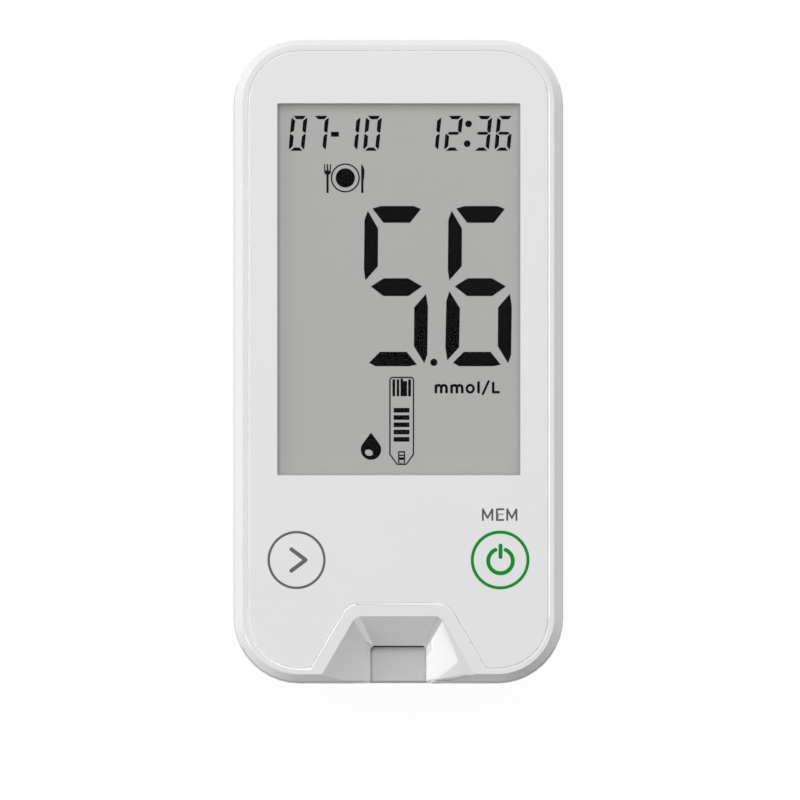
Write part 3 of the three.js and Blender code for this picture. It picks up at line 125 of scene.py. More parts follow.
for name, (direction, width, height, share) in LAMPS.items():
    toward = Vector(direction).normalized()
    lamp_data = bpy.data.lights.new(name, "AREA")
    lamp_data.shape = "RECTANGLE"
    lamp_data.size = width
    lamp_data.size_y = height
    lamp_data.energy = math.pi**2 * share * LAMP_DISTANCE**2
    lamp = bpy.data.objects.new(name, lamp_data)
    lamp.location = middle + toward * LAMP_DISTANCE
    lamp.rotation_euler = toward.to_track_quat("Z", "Y").to_euler()
    scene.collection.objects.link(lamp)
    print(name, round(lamp_data.energy, 2), "W")

# %% [markdown]
# The sky and every finish are trees of nodes. Two helpers keep their recipes short: one adds a node with its
# settings and the values of its inputs, the other links outputs to inputs.

# %% Node helpers
def add_node(tree, kind, values=None, **settings):
    """A shader node. values maps its inputs to what they are set to."""
    node = tree.nodes.new("ShaderNode" + kind)
    for setting, choice in settings.items():
        setattr(node, setting, choice)
    for entry, value in (values or {}).items():
        node.inputs[entry].default_value = value
    return node


def link(tree, *wires):
    """Links given as (from node, its output, to node, its input)."""
    for source, output, target, entry in wires:
        tree.links.new(source.outputs[output], target.inputs[entry])


print("node helpers ready")

# %% [markdown]
# The sky is plain. Rays from the camera, from gloss and through glass see it as pure white, the backdrop of
# the picture, while the light that it gives to surfaces is weaker.

# %% Sky
SKY_LIGHT = 0.12

sky = bpy.data.worlds.new("sky")
sky.use_nodes = True
scene.world = sky
tree = sky.node_tree
background = tree.nodes["Background"]
background.inputs["Color"].default_value = (1, 1, 1, 1)
path = add_node(tree, "LightPath")
either = add_node(tree, "Math", operation="MAXIMUM")
any_of = add_node(tree, "Math", operation="MAXIMUM")
strength = add_node(tree, "MapRange", {"To Min": SKY_LIGHT, "To Max": 1.0})
link(
    tree,
    (path, "Is Camera Ray", either, 0),
    (path, "Is Glossy Ray", either, 1),
    (either, 0, any_of, 0),
    (path, "Is Transmission Ray", any_of, 1),
    (any_of, 0, strength, "Value"),
    (strength, "Result", background, "Strength"),
)
print("the sky gives", SKY_LIGHT, "of the light on the face")

# %% [markdown]
# The floor is a white sheet. Seen directly it is nearly all plain white, with just enough of a real surface
# mixed in to keep a breath of the meter's shadow. From below it is clear, so that the back can be looked at
# too.

# %% Floor
FLOOR_SIZE = 6.0
FLOOR_DROP = 0.05 * MM
FLOOR_SHADOW = 0.03
FLOOR_COLOUR = (0.85, 0.85, 0.85, 1)

bpy.ops.mesh.primitive_plane_add(size=FLOOR_SIZE, location=(0, 0, low.z - FLOOR_DROP))
floor = bpy.context.object
floor.name = "floor"
paper = bpy.data.materials.new("floor_white")
paper.use_nodes = True
tree = paper.node_tree
tree.nodes.clear()
output = add_node(tree, "OutputMaterial")
matt = add_node(tree, "BsdfDiffuse", {"Color": FLOOR_COLOUR})
glow = add_node(tree, "Emission")
clear = add_node(tree, "BsdfTransparent")
path = add_node(tree, "LightPath")
side = add_node(tree, "NewGeometry")
seen = add_node(tree, "Math", operation="MAXIMUM")
portion = add_node(tree, "Math", {1: 1 - FLOOR_SHADOW}, operation="MULTIPLY")
front = add_node(tree, "MixShader")
both = add_node(tree, "MixShader")
link(
    tree,
    (path, "Is Camera Ray", seen, 0),
    (path, "Is Glossy Ray", seen, 1),
    (seen, 0, portion, 0),
    (portion, 0, front, "Fac"),
    (matt, 0, front, 1),
    (glow, 0, front, 2),
    (side, "Backfacing", both, "Fac"),
    (front, 0, both, 1),
    (clear, 0, both, 2),
    (both, 0, output, "Surface"),
)
floor.data.materials.append(paper)
print("the floor lies at", round(floor.location.z / MM, 3), "mm")

# %% [markdown]
# The loaded CAD nodes stay selected, and an operator works on all that is selected. So each modelling step
# starts from a clean selection, and these helpers see to it: they pick a single object, open it for editing
# with what the next operator should act on, move what they selected, or close up a finished mesh.

# %% Selection helpers
MERGE = 0.002 * MM
FINE_MERGE = MERGE / 4


def pick(piece):
    if bpy.context.object and bpy.context.object.mode != "OBJECT":
        bpy.ops.object.mode_set(mode="OBJECT")
    bpy.ops.object.select_all(action="DESELECT")
    piece.select_set(True)
    bpy.context.view_layer.objects.active = piece


def open_all(piece):
    """Opens the piece in edit mode with all of it selected."""
    pick(piece)
    bpy.ops.object.mode_set(mode="EDIT")
    bpy.ops.mesh.select_all(action="SELECT")


def select_parts(piece, kind, wanted):
    """Opens the piece in edit mode and selects its verts, edges or faces for which wanted is true."""
    pick(piece)
    bpy.ops.object.mode_set(mode="EDIT")
    bpy.ops.mesh.select_mode(type=kind)
    bpy.ops.mesh.select_all(action="DESELECT")
    mesh = bmesh.from_edit_mesh(piece.data)
    parts = {"VERT": mesh.verts, "EDGE": mesh.edges, "FACE": mesh.faces}[kind]
    chosen = [part for part in parts if wanted(part)]
    for part in chosen:
        part.select_set(True)
    bmesh.update_edit_mesh(piece.data)
    return len(chosen)


def move_parts(piece, wanted, x=0.0, y=0.0, z=0.0):
    """Moves the vertices for whose place wanted is true. Places and moves are in millimetres."""
    count = select_parts(piece, "VERT", lambda part: wanted(part.co / MM))
    bpy.ops.transform.translate(value=(x * MM, y * MM, z * MM))
    bpy.ops.object.mode_set(mode="OBJECT")
    return count


def close_up(piece, within=FINE_MERGE):
    """Merges the doubles of a piece and turns its faces outwards."""
    open_all(piece)
    bpy.ops.mesh.remove_doubles(threshold=within)
    bpy.ops.mesh.normals_make_consistent(inside=False)
    bpy.ops.object.mode_set(mode="OBJECT")
    return piece


print("meshes merge within", MERGE / MM, "mm")

# %% [markdown]
# The two shells, the tray of the port and the battery door keep their CAD shape, because every wall and hole
# of it has a job. What they lack is the small radius that a mould leaves on each edge, and that radius is
# what catches the light. The way to get it: copy the node's mesh, merge its loose triangles, dissolve the
# ones that lie flat, and bevel the sharp edges that show. The bevel is made by the operator and not in a
# material, so the mesh itself has it. Its faces get the attribute "edge", by which the finishes know where
# hands polish it.

# %% Copy a CAD node and soften its edges
FLAT = math.radians(0.8)
SHARP = math.radians(24)
SMOOTH = math.radians(34)
LEVEL = 0.9999


def copy_node(node, name):
    """A new piece with the node's shape: triangles merged, flat faces made whole. It stands for the node."""
    piece = bpy.data.objects.new(name, frame["nodes"][node].data.copy())
    scene.collection.objects.link(piece)
    piece.data.materials.clear()
    open_all(piece)
    bpy.ops.mesh.remove_doubles(threshold=MERGE)
    bpy.ops.mesh.dissolve_limited(angle_limit=FLAT, use_dissolve_boundaries=False)
    bpy.ops.object.mode_set(mode="OBJECT")
    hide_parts(node)
    return piece


def everywhere(x, y, z):
    return True


def middle_of(edge):
    """The middle of an edge in millimetres."""
    return (edge.verts[0].co + edge.verts[1].co) / 2 / MM


def soften(piece, radius, where=everywhere, segments=2):
    """Bevels the sharp edges whose middle is at a place where where(x, y, z) is true, in millimetres."""

    def wanted(edge):
        if len(edge.link_faces) != 2 or edge.calc_face_angle(0) < SHARP:
            return False
        return where(*middle_of(edge))

    count = select_parts(piece, "EDGE", wanted)
    if count:
        bpy.ops.mesh.bevel(offset=radius * MM, segments=segments, profile=0.5, clamp_overlap=False)
        mesh = bmesh.from_edit_mesh(piece.data)
        layer = mesh.faces.layers.float.get("edge") or mesh.faces.layers.float.new("edge")
        for part in mesh.faces:
            if part.select:
                part[layer] = 1
        bmesh.update_edit_mesh(piece.data)
    bpy.ops.object.mode_set(mode="OBJECT")
    return count


def level(part):
    """True for a face that lies level, such as the face of the meter."""
    return abs(part.normal.z) > LEVEL


def smooth(piece, crease=None, plain=None):
    """Smooth shading that breaks at sharp edges and, if asked for, at creases and round plain faces."""
    pick(piece)
    bpy.ops.object.shade_smooth_by_angle(angle=SMOOTH)
    if crease:
        select_parts(piece, "EDGE", crease)
        bpy.ops.mesh.mark_sharp()
    if plain:
        select_parts(piece, "FACE", plain)
        bpy.ops.mesh.faces_shade_flat()
    pick(piece)
    modifier = piece.modifiers.new("weights", "WEIGHTED_NORMAL")
    modifier.keep_sharp = True
    bpy.ops.object.modifier_apply(modifier=modifier.name)
    return piece


print("edges from", round(math.degrees(SHARP)), "degrees are softened")

# %% [markdown]
# Plates, rings, letters and the segments of the display are flat shapes with a thickness. A flat curve does
# them well: its outlines fill themselves, an outline inside another becomes a hole, and its own bevel rounds
# the rims evenly all round, which the bevel operator can't do so cleanly on a plate with holes. It is made a
# mesh before it is put at its height.

# %% Points of an outline
ARC_STEP = math.radians(5)


def arc_points(x, y, radius, start, turn, steps):
    angles = [start + turn * k / steps for k in range(steps + 1)]
    return [(x + radius * math.cos(a), y + radius * math.sin(a)) for a in angles]


def steps_in(turn):
    return max(2, math.ceil(abs(turn) / ARC_STEP))


def arc(x, y, radius, start, end):
    """Points along an arc, angles in degrees."""
    turn = math.radians(end - start)
    return arc_points(x, y, radius, math.radians(start), turn, steps_in(turn))


def circle(x, y, radius):
    return arc(x, y, radius, 0, 360)[:-1]


def rounded(corners, steps_each=0):
    """An outline from corners (x, y, radius), each made an arc that meets both of its sides.

    steps_each is the number of steps of each arc, where it isn't left to ARC_STEP.
    """
    points = []
    for k, (x, y, radius) in enumerate(corners):
        corner = Vector((x, y))
        back = (Vector(corners[k - 1][:2]) - corner).normalized()
        ahead = (Vector(corners[(k + 1) % len(corners)][:2]) - corner).normalized()
        if radius == 0:
            points.append((x, y))
            continue
        half = math.acos(back.dot(ahead)) / 2
        centre = corner + (back + ahead).normalized() * radius / math.sin(half)
        start = corner + back * radius / math.tan(half) - centre
        turn = math.pi - 2 * half
        if back.x * ahead.y - back.y * ahead.x > 0:
            turn = -turn
        first = math.atan2(start.y, start.x)
        points += arc_points(*centre, radius, first, turn, steps_each or steps_in(turn))
    return points


def rectangle(left, right, bottom, top, radius=0.0):
    return rounded([(left, bottom, radius), (right, bottom, radius), (right, top, radius), (left, top, radius)])


print("arcs turn", round(math.degrees(ARC_STEP), 1), "degrees a step")

# %% Curves made meshes
def new_curve(name, lines, dimensions, closed=False):
    """A curve along lines of points (x, y, z) in millimetres."""
    curve = bpy.data.curves.new(name, "CURVE")
    curve.dimensions = dimensions
    for points in lines:
        spline = curve.splines.new("POLY")
        spline.points.add(len(points) - 1)
        for knot, point in zip(spline.points, points):
            knot.co = (*[part * MM for part in point], 1)
        spline.use_cyclic_u = closed
    return curve


def as_mesh(name, data):
    """An object with a curve or a text, made a mesh."""
    piece = bpy.data.objects.new(name, data)
    scene.collection.objects.link(piece)
    pick(piece)
    bpy.ops.object.convert(target="MESH")
    return bpy.context.object


def flat_shape(name, outlines, bottom, top, rim=0.0, rim_steps=2):
    """A plate between two heights from closed outlines, all in millimetres. rim is the radius of its rims.

    With rim_steps 0 the rims are chamfers.
    """
    curve = new_curve(name, [[(x, y, 0) for x, y in points] for points in outlines], "2D", closed=True)
    curve.fill_mode = "BOTH"
    curve.extrude = (top - bottom) / 2 * MM - rim * MM
    curve.bevel_depth = rim * MM
    curve.bevel_resolution = rim_steps
    curve.offset = -rim * MM
    piece = as_mesh(name, curve)
    piece.location.z = (bottom + top) / 2 * MM
    bpy.ops.object.transform_apply(location=True, rotation=True, scale=True)
    return close_up(piece)


print("a circle has", len(circle(0, 0, 1)), "points")

# %% [markdown]
# Front shell. The eye reads it through four edges: the outer edge of the rim, the edge of the pocket round
# the faceplate, the edge of the strip port and, inside the port, the chamfers between its walls. The edge of
# the pocket is a flat chamfer, so that it shows as one even line. Some of its corners are moved a little, at
# the right and beside the notch, which sets how much of it the faceplate leaves to see. The shell meets the
# rear one at a seam, where both have a small radius.

# %% Places on the front shell
TOP = high.z / MM
FACE_LEVEL = TOP - 0.3
TOP_RING = TOP - 0.02
LOW_RING = TOP - 0.1
SEAM = TOP - 3.4
SEAM_REACH = 0.1
NEAR_SIDE = 0.8
POCKET_SIDE = 23.2
POCKET_TOP = 41.45
PORT_BACK = -38.6
PORT_HALF_WIDTH = 11.8
PORT_EDGE = 7.1
PORT_SPREAD = 0.58
GROOVE_SIDE = 22.0
NOTCH_REACH = 13.2
NOTCH_LEVEL = -36


def near_side(x, y, z):
    return max(abs(x) / high.x, abs(y) / high.y) * MM > NEAR_SIDE


def round_port(x, y, z):
    """At the edge of the port, inside the outline of the faceplate's notch."""
    return y < PORT_BACK and abs(x) < PORT_EDGE + PORT_SPREAD * (PORT_BACK - y)


def round_pocket(x, y, z):
    """At the edge of the pocket, which is the inner one of the two edges of the face."""
    return z > FACE_LEVEL and abs(x) < POCKET_SIDE and y < POCKET_TOP and not round_port(x, y, z)


def beside_notch(place):
    return place.y < NOTCH_LEVEL and abs(place.x) > NOTCH_REACH


print("the face lies at", round(TOP, 2), "mm and the seam at", round(SEAM, 2), "mm")

# %% Front shell and its groove
RIM_RADIUS = 0.03
POCKET_CHAMFER = 0.14
POCKET_SHIFT = 0.05
SIDE_SHIFT = 0.01
SIDE_TILT = {"x": -0.02, "z": 0.04}
SEAM_RADIUS = 0.12
GROOVE_MOVES = (
    (lambda place: place.x > NOTCH_REACH and place.z > TOP_RING, {"x": POCKET_SHIFT}),
    (lambda place: place.x > GROOVE_SIDE and place.z > TOP_RING, {"x": SIDE_SHIFT}),
    (lambda place: place.x > GROOVE_SIDE and place.z < LOW_RING, SIDE_TILT),
    (lambda place: beside_notch(place) and place.z > TOP_RING, {"y": -POCKET_SHIFT}),
)

front_shell = copy_node("front_housing", "front_shell")
pocket_edges = soften(front_shell, POCKET_CHAMFER, round_pocket, segments=1)
for there, move in GROOVE_MOVES:
    moved = move_parts(front_shell, lambda place: there(place) and round_pocket(*place), **move)
    print(moved, "corners of the groove moved by", move)
rim_edges = soften(front_shell, RIM_RADIUS, lambda *place: place[2] > FACE_LEVEL and not round_pocket(*place))
seam_edges = soften(
    front_shell, SEAM_RADIUS, lambda *place: abs(place[2] - SEAM) < SEAM_REACH and near_side(*place)
)
print("front shell:", rim_edges, "rim edges,", pocket_edges, "of the pocket,", seam_edges, "of the seam")

# %% [markdown]
# At the mouth of the port the walls are drawn back a little, so that their end faces lean and show as a dark
# line, helped by painted shade on those faces. The walls of the port are painted darker than the shell, painted
# shade of the recess. The right wall is polished on its inner part, which is painted lighter as a highlight,
# and its outer part is painted a little darker, as shade. Two cuts along the border of that part let it have a
# finish of its own. The chamfer on the left is painted lighter, a painted highlight, and stands out crisply on
# both sides, the one on the right melts into the back wall, so the first gets two creases and the second one.
# The tests on faces compare parts of the normal: its rise is the part along Z, what lies across is the part
# along X, and what looks ahead is the part along Y.

# %% Walls of the port
MOUTH = -48.58
WALL_RISE = (0.4, 0.97)
WALL_AHEAD = -0.7
END_AHEAD = -0.8
END_MARGIN = 1
BACK_AHEAD = -0.55
STRAIGHT = 0.05
RIGHT_ACROSS = -0.15
RIGHT_AHEAD = -0.4


def place_of(face):
    """The middle of a face in millimetres."""
    return face.calc_center_median() / MM


def port_wall(part):
    """A face of the sloping walls of the port."""
    centre = place_of(part)
    sloping = WALL_RISE[0] < part.normal.z < WALL_RISE[1] and part.normal.y > WALL_AHEAD
    return sloping and centre.y < PORT_BACK and abs(centre.x) < PORT_HALF_WIDTH and centre.z < TOP_RING


def right_wall(part):
    """A face of the port's wall at the right, without the chamfer."""
    turned = part.normal.x < RIGHT_ACROSS and part.normal.y > RIGHT_AHEAD
    return turned and port_wall(part) and place_of(part).x > 0


def mouth_end(part):
    """An end face of the port's walls, at the mouth."""
    centre = place_of(part)
    at_port = abs(centre.x) < PORT_HALF_WIDTH + END_MARGIN and centre.z > SEAM
    return part.normal.y < END_AHEAD and centre.y < MOUTH and at_port


def facing_mouth(part):
    """True for a face that looks straight out of the port, as its back wall does."""
    return part.normal.y < BACK_AHEAD and abs(part.normal.x) < STRAIGHT


def draw_back(piece, wanted):
    """Scales the wanted vertices to nothing along Y, at the mouth line, which leans the end face below them."""
    count = select_parts(piece, "VERT", wanted)
    bpy.ops.transform.resize(value=(1, 0, 1), center_override=(0, MOUTH * MM, 0))
    bpy.ops.object.mode_set(mode="OBJECT")
    return count


mouth_corners = draw_back(
    front_shell, lambda part: part.co.y < MOUTH * MM and any(port_wall(face) for face in part.link_faces)
)
print(mouth_corners, "corners drawn back at the mouth")

# %% Border of the polished part
POLISH_LINE = [(7.04, -40.2), (9.14, -45.6), (5.86, -48.46)]
polish_sides = list(zip(POLISH_LINE, POLISH_LINE[1:]))

for (x, y), (next_x, next_y) in polish_sides:
    select_parts(front_shell, "FACE", right_wall)
    across = Vector((y - next_y, next_x - x, 0)).normalized()
    bpy.ops.mesh.bisect(plane_co=(x * MM, y * MM, 0), plane_no=across, threshold=MERGE)
    bpy.ops.object.mode_set(mode="OBJECT")


def inside_polish(part):
    """True on the inner side of both lines."""
    centre = place_of(part)
    return all((nx - x) * (centre.y - y) < (ny - y) * (centre.x - x) for (x, y), (nx, ny) in polish_sides)


ends = select_parts(front_shell, "FACE", mouth_end)
bpy.ops.mesh.quads_convert_to_tris(quad_method="BEAUTY", ngon_method="BEAUTY")
bpy.ops.object.mode_set(mode="OBJECT")
print(len(polish_sides), "cuts along the polished part,", ends, "end faces at the mouth")

# %% Creases of the port
PORT_SHARP = math.radians(12)
UNDER_FACE = TOP - 0.05


def port_crease(edge):
    """An edge between a wall of the port and a chamfer. The right chamfer has none towards the back wall."""
    centre = middle_of(edge)
    if len(edge.link_faces) != 2 or centre.y > PORT_BACK or abs(centre.x) > PORT_HALF_WIDTH:
        return False
    if centre.z > UNDER_FACE or edge.calc_face_angle(0) < PORT_SHARP:
        return False
    return centre.x < 0 or not any(facing_mouth(face) for face in edge.link_faces)


smooth(front_shell, crease=port_crease, plain=level)
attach(front_shell, "case")
print("the front shell has", len(front_shell.data.polygons), "faces")

# %% [markdown]
# Rear shell, battery door and the tray of the port. The end face of the tray leans like the walls beside it,
# and it is painted grey as shade. Where the tray runs in under the back wall, a black strip lies on it as
# painted shade, where the lip of the slot shades the tray.

# %% Rear shell, door and tray
BACK_EDGE = 0.25
REAR_SEAM = 16
TRAY_EDGE = 0.1
DOOR_RADIUS = 0.1
DOOR_EDGE = 0.6

rear_shell = copy_node("rear_housing", "rear_shell")
rear_edges = soften(
    rear_shell, SEAM_RADIUS, lambda *place: place[2] < BACK_EDGE or (place[2] > REAR_SEAM and near_side(*place))
)
smooth(rear_shell, plain=level)
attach(rear_shell, "case")

door = copy_node("battery_door", "door_panel")
door_edges = soften(door, DOOR_RADIUS, lambda *place: place[2] < DOOR_EDGE)
smooth(door, plain=level)
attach(door, "battery_door")

tray = copy_node("port_tray", "port_floor")
tray_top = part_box("port_tray")[1].z
tray_corners = draw_back(tray, lambda part: part.co.y < MOUTH * MM and part.co.z > tray_top - TRAY_EDGE * MM)
smooth(tray, plain=level)
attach(tray, "case")
print("softened:", rear_edges, door_edges, "and", tray_corners, "corners of the tray drawn back")

# %% Painted shade in the slot
SLOT_SHADE_WIDTH = 0.2
SLOT_SHADE_DEPTH = 1
SLOT_SHADE_HALF_LENGTH = 4.15
SLOT_SHADE_HEIGHTS = (0.01, 0.05)
SLOT_EDGE = -43.25

# A thin black strip on the tray: painted shade under the lip of the slot.
slot_shade_strip = flat_shape(
    "slot_shade_strip",
    [rectangle(-SLOT_SHADE_HALF_LENGTH, SLOT_SHADE_HALF_LENGTH, SLOT_EDGE - SLOT_SHADE_WIDTH, SLOT_EDGE + SLOT_SHADE_DEPTH)],
    *[tray_top / MM + height for height in SLOT_SHADE_HEIGHTS],
)
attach(slot_shade_strip, "case")
print("the seal shows", SLOT_SHADE_WIDTH, "mm of itself")

# %% [markdown]
# Faceplate. On the real meter it is a thin plate, pressed and bonded into a pocket of the front shell, that the
# window and the buttons show through. Its chamfered rim and the one of the pocket make the fine groove round
# the face: lit from the upper left, the side that faces the light is bright and the other one is dark, and no
# gap shows between them. Both sides of the groove are also painted lighter than the plastic in most places, a
# painted highlight, and along the right side of the notch the plate's edge is painted a little darker, painted
# shade. So the outline is the CAD's, with the notch that follows the strip port, but grown until it all but
# touches the pocket, and its arcs have as many steps as the pocket's, so the groove keeps its width. Along the
# right side the rim is moved a little, where the groove's bright line is at its widest. The face lies a hair
# lower, so that the printed marks have room inside the CAD model's box. The holes are punched: a tool of their
# shape, slightly flared at the top, is cut out of the plate.

# %% Faceplate
PRINT_ROOM = 0.015
PLATE_CORNER = 7.75
POCKET_STEPS = 10
NOTCH_TOP = -36.8
NOTCH_CORNER = 3.05
NOTCH_FOOT_CORNER = 0.5
NOTCH_HALF_WIDTH = 7.594
NOTCH_SPREAD = 0.5805
PLATE_RIM = 0.15
PLATE_GROWTH = 0.05
RIM_SHIFT = -0.06
RIM_TILT = {"x": -0.02, "z": 0.05}
RIM_NEAR = 0.02

plate_low, plate_high = [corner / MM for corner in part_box("faceplate")]
growth = Vector((PLATE_GROWTH, PLATE_GROWTH, 0))
plate_low, plate_high = plate_low - growth, plate_high + growth
face = plate_high.z - PRINT_ROOM
foot_half_width = NOTCH_HALF_WIDTH + NOTCH_SPREAD * (NOTCH_TOP - plate_low.y)
plate_outline = rounded([
    (plate_low.x, plate_low.y, PLATE_CORNER),
    (-foot_half_width, plate_low.y, NOTCH_FOOT_CORNER),
    (-NOTCH_HALF_WIDTH, NOTCH_TOP, NOTCH_CORNER),
    (NOTCH_HALF_WIDTH, NOTCH_TOP, NOTCH_CORNER),
    (foot_half_width, plate_low.y, NOTCH_FOOT_CORNER),
    (plate_high.x, plate_low.y, PLATE_CORNER),
    (plate_high.x, plate_high.y, PLATE_CORNER),
    (plate_low.x, plate_high.y, PLATE_CORNER),
], POCKET_STEPS)
face_panel = flat_shape("face_panel", [plate_outline], plate_low.z, face, rim=PLATE_RIM, rim_steps=0)
move_parts(face_panel, lambda place: place.x > GROOVE_SIDE and place.z > face - RIM_NEAR, x=RIM_SHIFT)
move_parts(
    face_panel, lambda place: place.x > GROOVE_SIDE and abs(place.z - face + PLATE_RIM) < RIM_NEAR, **RIM_TILT
)
print("the face of the plate lies at", round(face, 3), "mm")

# %% Holes of the faceplate
WINDOW = (-18.41, 18.59, -17.30, 39.33)
WINDOW_CORNER = 0.15
BUTTON_Y = -30.2
BUTTON_X = {"arrow": -15.5, "power": 15.5}
RING_EDGES = {"arrow": (4.06, 4.39), "power": (4.01, 4.44)}
BUTTON_PLAY = 0.03
PUNCH_FLARE = 0.03
PUNCH_BELOW = 1
FACING = 0.9


def facing_up(part):
    return part.normal.z > FACING


def punch(outline, reach):
    """Cuts a hole through the panel. reach is the half size of the outline, for the flare at its edge."""
    x = sum(px for px, _ in outline) / len(outline)
    y = sum(py for _, py in outline) / len(outline)
    tool = flat_shape("punch", [outline], plate_low.z - PUNCH_BELOW, face - PUNCH_FLARE)
    select_parts(tool, "FACE", facing_up)
    bpy.ops.mesh.extrude_region_move()
    grow = [(half + 2 * PUNCH_FLARE) / half for half in reach]
    bpy.ops.transform.resize(value=(*grow, 1), center_override=(x * MM, y * MM, 0))
    bpy.ops.transform.translate(value=(0, 0, 2 * PUNCH_FLARE * MM))
    pick(face_panel)
    cut = face_panel.modifiers.new("cut", "BOOLEAN")
    cut.operation = "DIFFERENCE"
    cut.object = tool
    bpy.ops.object.modifier_apply(modifier=cut.name)
    bpy.data.objects.remove(tool)


window_left, window_right, window_bottom, window_top = WINDOW
punch(rectangle(*WINDOW, WINDOW_CORNER), ((window_right - window_left) / 2, (window_top - window_bottom) / 2))
for key, x in BUTTON_X.items():
    hole = RING_EDGES[key][1] + BUTTON_PLAY
    punch(circle(x, BUTTON_Y, hole), (hole, hole))
smooth(face_panel, plain=level)
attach(face_panel, "case")
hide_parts("faceplate")
print("faceplate:", len(face_panel.data.polygons), "faces")

# %% [markdown]
# Window. The clear lens fills its hole in the front shell behind the faceplate. A thin black frame lies on the
# lens as painted shadow. It sits a hair to the lower right, so it shows as a fine dark line at the left and top
# edges of the window, adding to the shadow that the faceplate's edge casts there.

# %% Window lens
LENS_RIM = 0.08
LENS_CORNER = 0.3
SHADOW_LINE_OUTSIDE = 0.12
SHADOW_LINE_SHOWS = {"left": 0.075, "right": -0.02, "bottom": -0.02, "top": 0.07}
SHADOW_LINE_HEIGHTS = (0.01, 0.06)

lens_low, lens_high = [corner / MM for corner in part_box("display_lens")]
window_lens = flat_shape(
    "window_lens",
    [rectangle(lens_low.x, lens_high.x, lens_low.y, lens_high.y, LENS_CORNER)],
    lens_low.z,
    lens_high.z,
    rim=LENS_RIM,
)
smooth(window_lens)
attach(window_lens, "case")
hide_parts("display_lens")

# The painted shadow: a thin black frame on the lens, set off to the lower right so it shows only at the left
# and top.
shadow_line_outside = rectangle(
    lens_low.x + SHADOW_LINE_OUTSIDE,
    lens_high.x - SHADOW_LINE_OUTSIDE,
    lens_low.y + SHADOW_LINE_OUTSIDE,
    lens_high.y - SHADOW_LINE_OUTSIDE,
)
shadow_line_inside = rectangle(
    window_left + SHADOW_LINE_SHOWS["left"],
    window_right - SHADOW_LINE_SHOWS["right"],
    window_bottom + SHADOW_LINE_SHOWS["bottom"],
    window_top - SHADOW_LINE_SHOWS["top"],
    WINDOW_CORNER,
)
shadow_line_heights = [lens_high.z + height for height in SHADOW_LINE_HEIGHTS]
window_shadow_line = flat_shape("window_shadow_line", [shadow_line_outside, shadow_line_inside], *shadow_line_heights)
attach(window_shadow_line, "case")
print("lens:", round(lens_high.z - lens_low.z, 2), "mm thick")

# %% [markdown]
# Buttons. Each is a round white cap, flush with the face, with a coloured ring moulded into its edge and a
# mark in the same colour. The cap is built up by hand: a thin cylinder for the stem, whose top face is scaled
# out to the flange, raised, drawn in to the cap, raised again and drawn in once more where the ring lies.

# %% Button caps
STEM_RADIUS = 1.5
FLANGE_RADIUS = 5.25
FLANGE_BOTTOM = 17.7
FLANGE_TOP = 18.4
CAP_STEP = 0.05
CAP_SIDES = 96
CAP_EDGE = 0.03
CAP_EDGE_DEPTH = 0.1
RING_DEPTH = 1.0


def make_cap(key, x):
    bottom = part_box(key + "_button")[0].z / MM
    bpy.ops.object.select_all(action="DESELECT")
    bpy.ops.mesh.primitive_cylinder_add(
        vertices=CAP_SIDES,
        radius=STEM_RADIUS * MM,
        depth=(FLANGE_BOTTOM - bottom) * MM,
        location=(x * MM, BUTTON_Y * MM, (FLANGE_BOTTOM + bottom) / 2 * MM),
    )
    cap = bpy.context.object
    cap.name = key + "_cap"
    bpy.ops.object.transform_apply(location=True, rotation=True, scale=True)
    ring_inner, ring_outer = RING_EDGES[key]
    cap_radius = ring_outer - CAP_STEP
    select_parts(cap, "FACE", facing_up)
    last = STEM_RADIUS
    for radius, rise in (
        (FLANGE_RADIUS, 0),
        (FLANGE_RADIUS, FLANGE_TOP - FLANGE_BOTTOM),
        (cap_radius, 0),
        (cap_radius, face - RING_DEPTH - FLANGE_TOP),
        (ring_inner, 0),
        (ring_inner, RING_DEPTH),
    ):
        scale = radius / last
        bpy.ops.mesh.extrude_region_move()
        bpy.ops.transform.resize(value=(scale, scale, 1), center_override=(x * MM, BUTTON_Y * MM, 0))
        bpy.ops.transform.translate(value=(0, 0, rise * MM))
        last = radius
    bpy.ops.mesh.select_all(action="SELECT")
    bpy.ops.mesh.remove_doubles(threshold=MERGE)
    bpy.ops.object.mode_set(mode="OBJECT")
    soften(cap, CAP_EDGE, lambda *place: place[2] > face - CAP_EDGE_DEPTH)
    return smooth(cap, plain=level)


caps = {}
rings = {}
for key, x in BUTTON_X.items():
    caps[key] = make_cap(key, x)
    ring_outlines = [circle(x, BUTTON_Y, radius) for radius in RING_EDGES[key][::-1]]
    rings[key] = flat_shape(key + "_ring", ring_outlines, face - RING_DEPTH, face, rim=CAP_EDGE)
    smooth(rings[key], plain=level)
    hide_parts(key + "_button")
    for piece in (caps[key], rings[key]):
        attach(piece, key + "_button")
    print(key, "button:", len(caps[key].data.polygons), "faces")

# %% [markdown]
# The marks on the buttons and the label over the right one are printed lines of even width with round ends.
# The outline of such a line runs along its left side, round its end, and back along the other side.

# %% Outline of a drawn line
STROKE_STEP = 15


def heading(way):
    return math.degrees(math.atan2(way.y, way.x))


def round_part(centre, radius, first, last):
    """Points round the end or an outer corner of a line, angles in degrees."""
    steps = max(2, math.ceil(abs(last - first) / STROKE_STEP))
    angles = [math.radians(first + (last - first) * k / steps) for k in range(steps + 1)]
    return [(centre.x + radius * math.cos(a), centre.y + radius * math.sin(a)) for a in angles]


